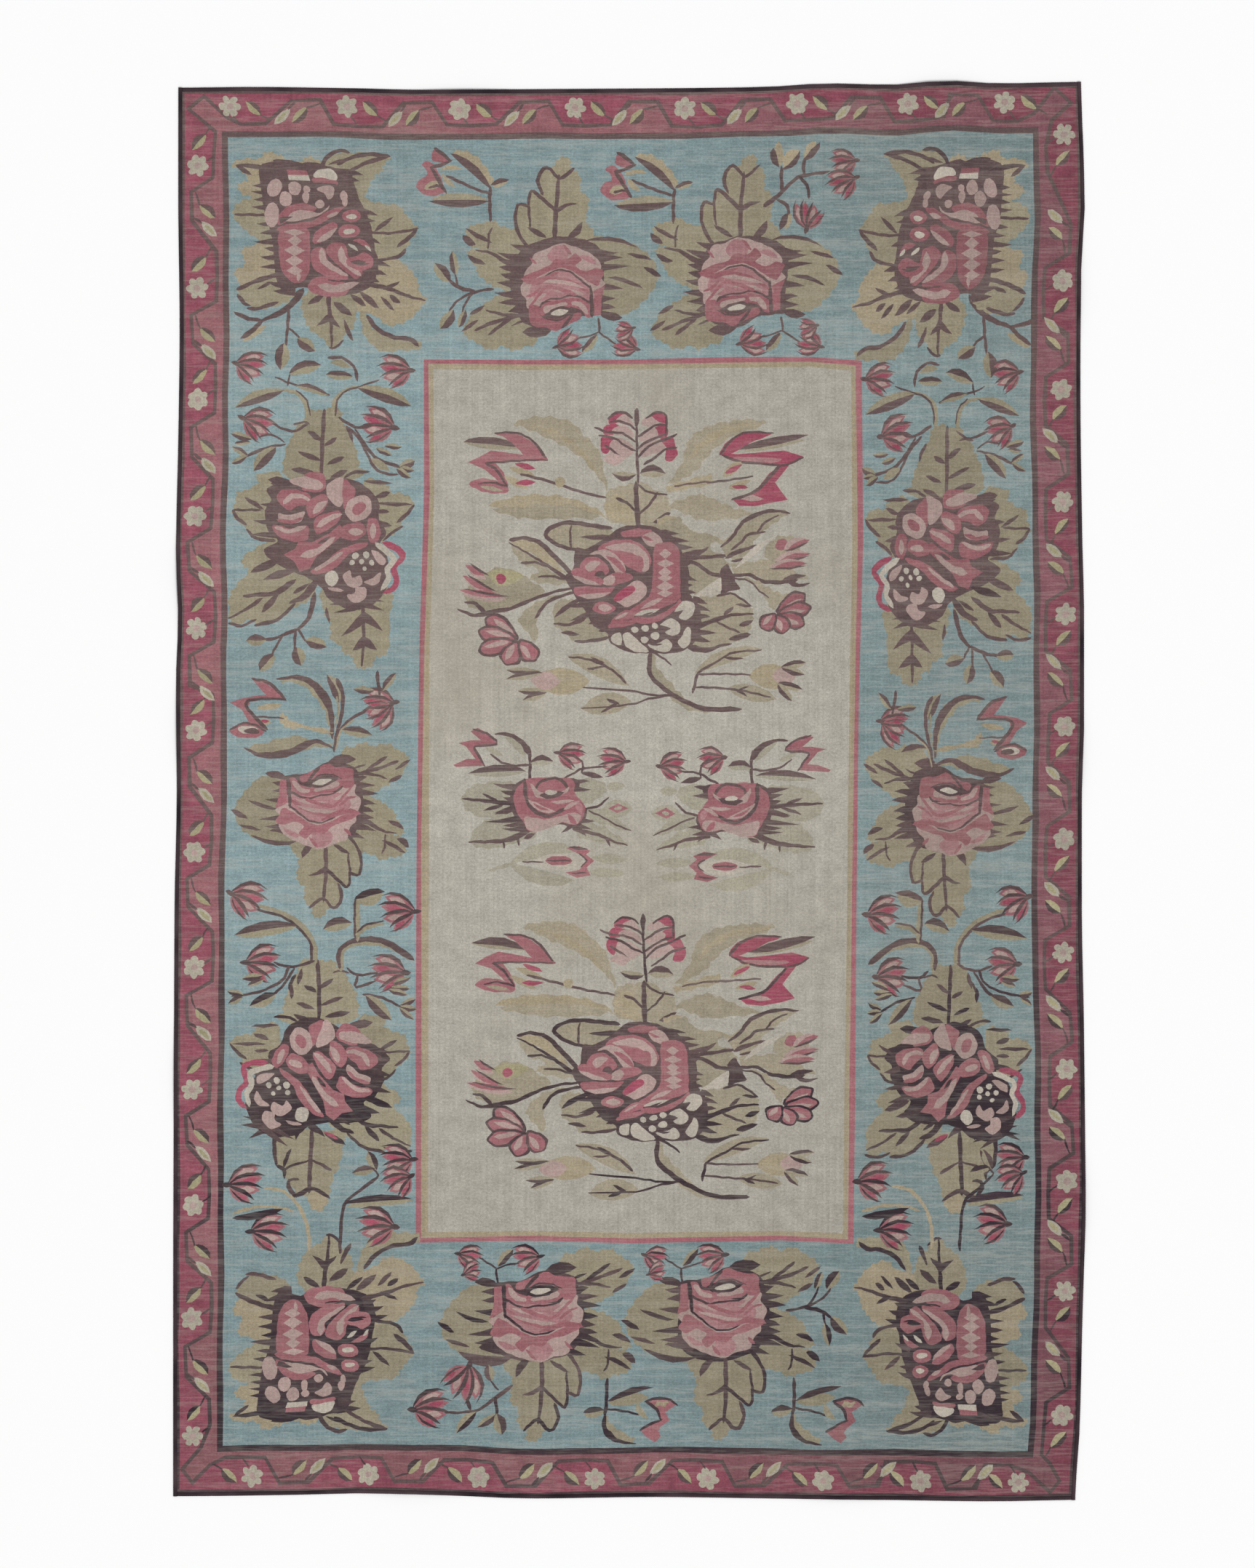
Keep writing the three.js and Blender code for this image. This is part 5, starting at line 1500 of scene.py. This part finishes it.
# How far the outlines turn to black: towards the lower end, towards the right side and in patches.
BLACK_BELOW = 0.9
BLACK_RIGHT = 0.18
BLACK_PATCHES = 0.22

# The dyes that two of the colours turn to towards the right side.
RIGHT_DYES = {
    "blue": linear(122, 139, 140),
    "strip": linear(145, 94, 103),
}


def corner_colours(areas, corners, triangles, top):
    """The dye at each corner: the area's dye, its own yarn lot, bands in the blue and the red, painted shade
    and wear that darken it towards the right side and the ends, and outlines that turn near black in patches,
    most of all towards the lower end."""
    rng = np.random.default_rng(DESIGN_SEED)
    lots = rng.normal(0.0, LOT_SPREAD, len(areas))
    depths = rng.uniform(0.0, 1.0, len(areas))
    names = np.array([dye for dye, _ in areas])
    dyes = np.array([DYES[name] for name in names]) * (1 + lots[:, None])
    wears = np.array([WEAR.get(name, PLAIN_WEAR) for name in names])
    x, y = corners[:, 0], corners[:, 1]
    patch = np.sin(x / 90 + 1) * np.sin(y / 71 + x / 260) + 0.6 * np.sin(y / 33 + 2)
    lower, right = np.clip([(100 - y) / 900, (x - 200) / 500], 0, 1)
    dark = BLACK_BELOW * lower - 0.04 + BLACK_RIGHT * right + BLACK_PATCHES * patch
    blackened = np.clip(dark[triangles] + 0.12 - depths[top][:, None] * 0.6, 0, 1)
    blackened = np.where((names == "brown")[top][:, None], blackened, 0.0)[:, :, None]
    shade = np.ones(triangles.shape)
    for name, bands in BANDS.items():
        at, lighter = np.array(bands).T
        shade += np.where((names == name)[top][:, None], np.interp(y, at, lighter)[triangles], 0.0)
    # Painted shade and wear together: each dye darkens towards the right side and the ends.
    places = np.clip([x / RIGHT_SPAN, (-y - END_START) / END_SPAN, (y - END_START) / END_SPAN], 0, 1)
    darker = np.array([SHADE_AND_WEAR_DARKENING.get(name, (0.0, 0.0, 0.0)) for name in names])
    shade -= np.einsum("tk,ktc->tc", darker[top], places[:, triangles])
    turned = np.array([RIGHT_DYES.get(name, DYES[name]) for name in names]) * (1 + lots[:, None])
    far = places[0][triangles][:, :, None]
    colours = (dyes[top][:, None, :] * (1 - far) + turned[top][:, None, :] * far) * shade[:, :, None]
    colours = colours * (1 - blackened) + np.array(DYES["black"]) * blackened
    worn = np.repeat(wears[top][:, None, :], 3, axis=1)
    return colours, worn


def cloth_mesh(areas):
    """One closed sheet: the design's triangles on top, the same design without its smaller areas below, and
    walls round the outline."""
    sides = [triangulate(areas), triangulate(areas, SMALLEST_BELOW)]
    points, faces, colours, wear, rims = [], [], [], [], []
    for (corners, triangles, top), up in zip(sides, (True, False)):
        start = sum(len(part) for part in points)
        height = lift_at(corners) + CLOTH_THICKNESS * up
        points.append(np.column_stack([corners, height]))
        dyes, worn = corner_colours(areas, corners, triangles, top)
        turn = slice(None) if up else slice(None, None, -1)
        faces.append(triangles[:, turn] + start)
        colours.append(dyes[:, turn].reshape(-1, 3))
        wear.append(worn[:, turn].reshape(-1, 3))
        away = cloth_outline()[:, None] - corners[None]
        rims.append(start + np.hypot(away[..., 0], away[..., 1]).argmin(axis=1))
    upper, lower = rims
    after_upper, after_lower = np.roll(upper, -1), np.roll(lower, -1)
    walls = np.concatenate([np.stack([upper, lower, after_lower], axis=1),
                            np.stack([upper, after_lower, after_upper], axis=1)])
    faces.append(walls)
    colours.append(np.tile(DYES["brown"], (len(walls) * 3, 1)))
    wear.append(np.tile(WEAR["brown"], (len(walls) * 3, 1)))
    points = np.concatenate(points) * MM
    return points, np.concatenate(faces), np.concatenate(colours), np.concatenate(wear), len(sides[0][0])


def slope_normals(points, count_upper):
    """The smooth normal at each point: the way of steepest fall of the lift, up on top and down below."""
    step = 2.0
    flat = points[:, :2] / MM
    dx = (lift_at(flat + (step, 0)) - lift_at(flat - (step, 0))) / (2 * step)
    dy = (lift_at(flat + (0, step)) - lift_at(flat - (0, step))) / (2 * step)
    normals = np.stack([-dx, -dy, np.ones(len(flat))], axis=1)
    normals /= np.linalg.norm(normals, axis=1, keepdims=True)
    normals[count_upper:] *= -1
    return normals


def make_piece(name, points, faces, material):
    """A mesh object from arrays of points and of faces, at the origin."""
    mesh = bpy.data.meshes.new(name)
    mesh.from_pydata(points.tolist(), [], faces.tolist())
    mesh.materials.append(material)
    mesh.polygons.foreach_set("use_smooth", np.ones(len(faces), bool))
    piece = bpy.data.objects.new(name, mesh)
    bpy.context.scene.collection.objects.link(piece)
    return piece


def add_colour(mesh, name, values):
    """A colour for every face corner."""
    layer = mesh.color_attributes.new(name, "FLOAT_COLOR", "CORNER")
    layer.data.foreach_set("color", np.column_stack([values, np.ones(len(values))]).ravel())


# Materials


def new_material(name):
    """A node material with its surface shader, and short ways to add a node and to join sockets."""
    material = bpy.data.materials.new(name)
    material.use_nodes = True
    tree = material.node_tree
    shader = tree.nodes["Principled BSDF"]

    def add(kind, inputs=(), **settings):
        """Adds a node, sets its settings, and sets or joins its inputs by number or name."""
        made = tree.nodes.new(kind)
        for key, value in settings.items():
            setattr(made, key, value)
        for key, value in dict(inputs).items():
            if isinstance(value, bpy.types.NodeSocket):
                tree.links.new(value, made.inputs[key])
            else:
                made.inputs[key].default_value = value
        return made

    return material, tree, shader, add


def noise(add, place, scale, size=1.0, detail=2.0):
    """A noise value stretched by a scale on each axis."""
    mapping = add("ShaderNodeMapping", {"Vector": place, "Scale": scale})
    made = add("ShaderNodeTexNoise", {"Vector": mapping.outputs[0], "Scale": size, "Detail": detail})
    return made.outputs["Fac"]


def worked(add, operation, *values):
    """The result of an operation on values, each a number or a socket."""
    return add("ShaderNodeMath", dict(enumerate(values)), operation=operation).outputs[0]


def ranged(add, value, low=0.0, high=1.0, to_low=0.0, to_high=1.0):
    """A value brought from low and high to to_low and to_high, in proportion and no further."""
    inputs = {"Value": value, "From Min": low, "From Max": high, "To Min": to_low, "To Max": to_high}
    return add("ShaderNodeMapRange", inputs).outputs[0]


def blended(add, share, first, second):
    """A colour that share takes from the first towards the second, which is a setting of three numbers."""
    inputs = {"Factor": share, 6: first, 7: tuple(second) + (1.0,)}
    return add("ShaderNodeMix", inputs, data_type="RGBA").outputs[2]


def swing(add, value, amount):
    """A factor near one: 1 + amount x (value - a half), where amount may be a socket."""
    return worked(add, "MULTIPLY_ADD", worked(add, "SUBTRACT", value, 0.5), amount, 1.0)


def waves(add, value, pitch):
    """The sine of a length over a pitch, both in metres."""
    return worked(add, "SINE", worked(add, "MULTIPLY", value, 2 * math.pi / pitch))


def weave_material(dye_settings):
    """Weft-faced wool: each area's dye, with streaks along the weft, mottling, old stains and ribs."""
    material, tree, shader, add = new_material("Slit tapestry wool")
    place = add("ShaderNodeTexCoord").outputs["Object"]
    dye = add("ShaderNodeAttribute", attribute_name="dye").outputs["Color"]
    wear = add("ShaderNodeAttribute", attribute_name="wear").outputs["Color"]
    streaking, mottling, staining = add("ShaderNodeSeparateColor", {0: wear}).outputs
    xyz = add("ShaderNodeSeparateXYZ", {0: place})
    streaks = noise(add, place, (3.5, 70, 1), detail=5.0)
    threads = noise(add, place, (26, 300, 1), detail=2.0)
    mottle = noise(add, place, (30, 34, 1), detail=4.0)
    cells = noise(add, place, (170, 230, 1), detail=2.0)
    grain = noise(add, place, (420, 600, 1), detail=2.0)
    warps = noise(add, place, (210, 3, 1), detail=2.0)
    stain = noise(add, place, (2.4, 1.8, 1), detail=5.0)
    factor = swing(add, streaks, worked(add, "MULTIPLY", streaking, 0.6))
    for value, amount in [(threads, worked(add, "MULTIPLY", streaking, 0.7)),
                          (mottle, worked(add, "MULTIPLY", mottling, 0.75)), (cells, 0.68),
                          (grain, dye_settings.grain), (warps, 0.34)]:
        factor = worked(add, "MULTIPLY", factor, swing(add, value, amount))
    toned = add("ShaderNodeVectorMath", {0: dye, "Scale": factor}, operation="SCALE").outputs[0]
    faded = ranged(add, worked(add, "ADD", streaks, threads), 0.96, 1.2, 0.0, 0.5)
    toned = blended(add, worked(add, "MULTIPLY", faded, streaking), toned, dye_settings.faded)
    stained = worked(add, "MULTIPLY", ranged(add, stain, 0.5, 0.72), staining)
    colour = blended(add, worked(add, "MULTIPLY", stained, 0.35), toned, dye_settings.stain)
    tree.links.new(colour, shader.inputs["Base Color"])
    tree.links.new(ranged(add, mottle, to_low=0.8), shader.inputs["Roughness"])
    ribs = waves(add, xyz.outputs[0], dye_settings.rib_pitch * MM)
    picks = waves(add, xyz.outputs[1], dye_settings.pick_pitch * MM)
    relief = worked(add, "MULTIPLY_ADD", grain, 2.0, worked(add, "MULTIPLY_ADD", picks, 0.35, ribs))
    bump = add("ShaderNodeBump", {"Height": relief, "Strength": 0.35, "Distance": 0.0003})
    tree.links.new(bump.outputs[0], shader.inputs["Normal"])
    shader.inputs["Sheen Weight"].default_value = 0.12
    shader.inputs["Sheen Roughness"].default_value = 0.6
    shader.inputs["Specular IOR Level"].default_value = 0.15
    return material


def overcast_material(dark, light):
    """Overcast wool yarn: dark turns with worn, paler stretches and a fine fibre grain."""
    material, tree, shader, add = new_material("Overcast edge wool")
    place = add("ShaderNodeTexCoord").outputs["Object"]
    worn = noise(add, place, (9, 9, 9), detail=5.0)
    fibre = noise(add, place, (900, 900, 900), detail=2.0)
    mixed = blended(add, ranged(add, worn, 0.35, 0.75), tuple(dark) + (1.0,), light)
    toned = add("ShaderNodeVectorMath", {0: mixed, "Scale": swing(add, fibre, 0.7)}, operation="SCALE")
    tree.links.new(toned.outputs[0], shader.inputs["Base Color"])
    tree.links.new(ranged(add, fibre, to_low=0.8), shader.inputs["Roughness"])
    bump = add("ShaderNodeBump", {"Height": fibre, "Strength": 0.5, "Distance": 0.0004})
    tree.links.new(bump.outputs[0], shader.inputs["Normal"])
    shader.inputs["Specular IOR Level"].default_value = 0.15
    return material


# The overcast edges

YARN_PITCH = 4.2
STEPS_A_TURN = 6
# How deep the yarn's grooves are in mm, and how far one turn lags behind at each section point, in radians.
GROOVE_DEPTH = 0.55
SLANT = 0.5
# At how many places along a side the yarn's unevenness is drawn, how far it shifts a turn in radians, and
# how deep it is in mm.
UNEVEN_PLACES = 240
UNEVEN_SHIFT = 0.8
UNEVEN_DEPTH = 0.08
# The section of the edge, in shares of its width and height.
EDGE_SECTION = [(0.0, 0.45), (0.06, 0.12), (0.2, 0.0), (1.0, 0.0), (1.0, 0.6), (0.9, 0.86), (0.72, 1.0),
                (0.48, 1.0), (0.26, 0.92), (0.08, 0.72)]


def edge_mesh(point_at, shares, length, outwards, seed):
    """A flattened roll along one side whose radius swells with each turn of its yarn, slanted and uneven:
    each section point moves to and from the roll's middle by a sine of the way along plus the way round."""
    turns = length / YARN_PITCH
    way = np.linspace(shares[0], shares[-1], int(turns * STEPS_A_TURN) + 1)
    rng = np.random.default_rng(seed)
    knots = np.linspace(way[0], way[-1], UNEVEN_PLACES)
    uneven = np.interp(way, knots, rng.normal(0, 1, UNEVEN_PLACES))
    aside, up = np.array(EDGE_SECTION).T
    corners = len(EDGE_SECTION)
    phase = way[:, None] * length / YARN_PITCH * 2 * math.pi + np.arange(corners)[None] * SLANT
    phase += uneven[:, None] * UNEVEN_SHIFT
    swell = 0.5 + 0.5 * np.sin(phase)
    free = np.where(up > 0.05, 1.0, 0.0) * np.where(aside > 0.97, 0.0, 1.0)
    depth = (GROOVE_DEPTH * (1 - swell) + UNEVEN_DEPTH * np.abs(uneven)[:, None]) * free
    aside_mm = aside[None] * EDGE_WIDTH + (0.5 - aside)[None] * 2 * depth * 0.6
    up_mm = up[None] * EDGE_HEIGHT - depth * up[None] * 0.9
    centre = np.stack([point_at(way, np.full_like(way, mm)) for mm in (0.0, EDGE_WIDTH)], axis=1)
    share = (aside_mm / EDGE_WIDTH)[..., None]
    flat = centre[:, None, 0] * (1 - share) + centre[:, None, 1] * share
    lift = lift_at(flat.reshape(-1, 2)).reshape(flat.shape[:2])
    points = np.concatenate([flat, (lift + up_mm)[..., None]], axis=2).reshape(-1, 3) * MM
    rings = len(way)
    ring, side = np.meshgrid(np.arange(rings - 1), np.arange(corners), indexing="ij")
    here, beside = ring * corners + side, ring * corners + (side + 1) % corners
    quads = np.stack([here, beside, beside + corners, here + corners], axis=-1).reshape(-1, 4)
    caps = [list(range(corners))[::-1], list(range((rings - 1) * corners, rings * corners))]
    if outwards:
        quads = quads[:, ::-1]
        caps = [cap[::-1] for cap in caps]
    return points, quads, caps


def along_side(side):
    """The rug's outline along one side as straight runs between the cloth's stations, at an inset in mm."""
    def point_at(share, inset):
        knots = COLUMNS if side in ("bottom", "top") else np.concatenate([[0], ROWS, [1]])
        lines = []
        for mm in (0.0, EDGE_WIDTH):
            if side == "left":
                at = on_floor(mm / WIDTH, knots)
            elif side == "right":
                at = on_floor(1 - mm / WIDTH, knots)
            elif side == "bottom":
                at = on_floor(knots, np.full_like(knots, mm / LENGTH))
            else:
                at = on_floor(knots, np.full_like(knots, 1 - mm / LENGTH))
            lines.append(np.stack([np.interp(share, knots, at[:, axis]) for axis in (0, 1)], axis=-1))
        blend = (inset / EDGE_WIDTH)[:, None]
        return lines[0] * (1 - blend) + lines[1] * blend

    return point_at


SIDES = [
    ("left", np.array([0.0, 1.0]), LENGTH, True, 1),
    ("right", np.array([0.0, 1.0]), LENGTH, False, 2),
    ("bottom", COLUMNS, WIDTH, False, 3),
    ("top", COLUMNS, WIDTH, True, 4),
]


# The add-on's settings, operators and panel


class KilimClothSettings(bpy.types.PropertyGroup):
    grain: bpy.props.FloatProperty(
        name="Grain", description="How much the yarn's lightness varies from thread to thread", default=0.9,
        min=0.0, max=2.0)
    rib_pitch: bpy.props.FloatProperty(
        name="Rib pitch (mm)", description="Distance between two warps, in millimetres", default=3.0,
        min=1.0, max=8.0)
    pick_pitch: bpy.props.FloatProperty(
        name="Pick pitch (mm)", description="Distance between two wefts, in millimetres", default=1.5,
        min=0.5, max=5.0)
    faded: bpy.props.FloatVectorProperty(
        name="Faded", description="Colour that the streaks of faded yarn tend to", subtype="COLOR", size=3,
        default=linear(166, 162, 152), min=0.0, max=1.0)
    stain: bpy.props.FloatVectorProperty(
        name="Stain", description="Colour of the old stains", subtype="COLOR", size=3,
        default=linear(146, 134, 116), min=0.0, max=1.0)


class KilimEdgeSettings(bpy.types.PropertyGroup):
    dark: bpy.props.FloatVectorProperty(
        name="Dark yarn", description="Colour of the overcast yarn", subtype="COLOR", size=3,
        default=linear(38, 30, 36), min=0.0, max=1.0)
    light: bpy.props.FloatVectorProperty(
        name="Worn yarn", description="Colour of the yarn where it is worn", subtype="COLOR", size=3,
        default=linear(82, 66, 70), min=0.0, max=1.0)


class KilimStageSettings(bpy.types.PropertyGroup):
    floor: bpy.props.FloatVectorProperty(
        name="Floor", description="Colour of the floor", subtype="COLOR", size=3, default=(0.98, 0.98, 0.98),
        min=0.0, max=1.0)
    camera_height: bpy.props.FloatProperty(
        name="Camera height", description="Height of the camera over the floor", default=7.5,
        min=2.0, max=30.0, unit="LENGTH")
    sky: bpy.props.FloatProperty(
        name="Sky", description="Strength of the even light from all round", default=0.62, min=0.0, max=5.0)
    sun: bpy.props.FloatProperty(
        name="Sun", description="Strength of the soft light from the upper left", default=1.5,
        min=0.0, max=20.0)


class OBJECT_OT_kilim_stage(bpy.types.Operator):
    """Sets a pale floor, soft light and a camera straight above the rug"""

    bl_idname = "object.kilim_stage"
    bl_label = "Stage"

    def execute(self, context):
        settings = context.scene.kilim_stage
        scene = context.scene
        corners = np.array([(-1, -1, 0), (1, -1, 0), (1, 1, 0), (-1, 1, 0)]) * FLOOR_HALF
        material, _, shader, _ = new_material("Pale floor")
        shader.inputs["Base Color"].default_value = tuple(settings.floor) + (1.0,)
        shader.inputs["Roughness"].default_value = 0.9
        floor = make_piece("floor", corners, np.array([[0, 1, 2, 3]]), material)
        world = bpy.data.worlds.new("Soft light")
        world.use_nodes = True
        world.node_tree.nodes["Background"].inputs["Color"].default_value = (1.0, 1.0, 1.0, 1.0)
        world.node_tree.nodes["Background"].inputs["Strength"].default_value = settings.sky
        scene.world = world
        sun = bpy.data.lights.new("Soft sun", "SUN")
        sun.energy = settings.sun
        sun.angle = math.radians(SUN_SIZE)
        lamp = bpy.data.objects.new("Soft sun", sun)
        lamp.rotation_euler = (math.radians(SUN_TILT), 0, math.radians(SUN_TURN))
        scene.collection.objects.link(lamp)
        camera = bpy.data.cameras.new("Camera")
        camera.sensor_fit = "VERTICAL"
        camera.sensor_height = 24.0
        camera.lens = camera.sensor_height * settings.camera_height / (PHOTO_HEIGHT * MM)
        camera.clip_end = 100.0
        viewer = bpy.data.objects.new("Camera", camera)
        viewer.location = (PHOTO_MIDDLE[0] * MM, PHOTO_MIDDLE[1] * MM, settings.camera_height)
        scene.collection.objects.link(viewer)
        scene.camera = viewer
        scene.view_settings.view_transform = "Standard"
        return {"FINISHED"}


class OBJECT_OT_kilim_cloth(bpy.types.Operator):
    """Weaves the rug's cloth with its whole design"""

    bl_idname = "object.kilim_cloth"
    bl_label = "Cloth"

    def execute(self, context):
        areas = draw_design()
        points, faces, colours, worn, count_upper = cloth_mesh(areas)
        piece = make_piece("woven_cloth", points, faces, weave_material(context.scene.kilim_cloth))
        mesh = piece.data
        add_colour(mesh, "dye", colours)
        add_colour(mesh, "wear", worn)
        layer = mesh.uv_layers.new(name="OFBake")
        box = np.array(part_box("cloth"))
        flat = points[faces.ravel(), :2]
        shares = (flat - box[0, :2]) / (box[1, :2] - box[0, :2])
        layer.data.foreach_set("uv", shares.ravel())
        normals = slope_normals(points, count_upper)
        mesh.normals_split_custom_set_from_vertices(normals.tolist())
        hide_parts("cloth")
        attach(piece, "root")
        outline = cloth_outline() * MM
        span_of(outline)
        return {"FINISHED"}


class OBJECT_OT_kilim_edges(bpy.types.Operator):
    """Overcasts the rug's four sides with dark yarn"""

    bl_idname = "object.kilim_edges"
    bl_label = "Edges"

    def execute(self, context):
        settings = context.scene.kilim_edge
        material = overcast_material(settings.dark, settings.light)
        for side, shares, length, outwards, seed in SIDES:
            points, quads, caps = edge_mesh(along_side(side), shares, length, outwards, seed)
            mesh = bpy.data.meshes.new("overcast_" + side)
            mesh.from_pydata(points.tolist(), [], quads.tolist() + caps)
            mesh.materials.append(material)
            mesh.polygons.foreach_set("use_smooth", np.ones(len(quads) + 2, bool))
            piece = bpy.data.objects.new("overcast_" + side, mesh)
            context.scene.collection.objects.link(piece)
            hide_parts("edge_" + side)
            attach(piece, "root")
        return {"FINISHED"}


class VIEW3D_PT_kilim(bpy.types.Panel):
    """Lists the rug's operators"""

    bl_label = "Bessarabian kilim"
    bl_space_type = "VIEW_3D"
    bl_region_type = "UI"
    bl_category = "Kilim"

    def draw(self, context):
        for operator in OPERATORS:
            self.layout.operator(operator.bl_idname)


OPERATORS = [OBJECT_OT_kilim_stage, OBJECT_OT_kilim_cloth, OBJECT_OT_kilim_edges]
SETTINGS = {
    "kilim_stage": KilimStageSettings,
    "kilim_cloth": KilimClothSettings,
    "kilim_edge": KilimEdgeSettings,
}


def register():
    """Registers the settings, operators and panel."""
    for name, group in SETTINGS.items():
        bpy.utils.register_class(group)
        setattr(bpy.types.Scene, name, bpy.props.PointerProperty(type=group))
    for operator in OPERATORS:
        bpy.utils.register_class(operator)
    bpy.utils.register_class(VIEW3D_PT_kilim)


def unregister():
    """Takes the panel, operators and settings away again."""
    bpy.utils.unregister_class(VIEW3D_PT_kilim)
    for operator in reversed(OPERATORS):
        bpy.utils.unregister_class(operator)
    for name, group in reversed(SETTINGS.items()):
        delattr(bpy.types.Scene, name)
        bpy.utils.unregister_class(group)


def main():
    """Registers the add-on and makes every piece."""
    register()
    bpy.ops.object.kilim_stage()
    bpy.ops.object.kilim_cloth()
    bpy.ops.object.kilim_edges()


if __name__ == "__main__":
    main()
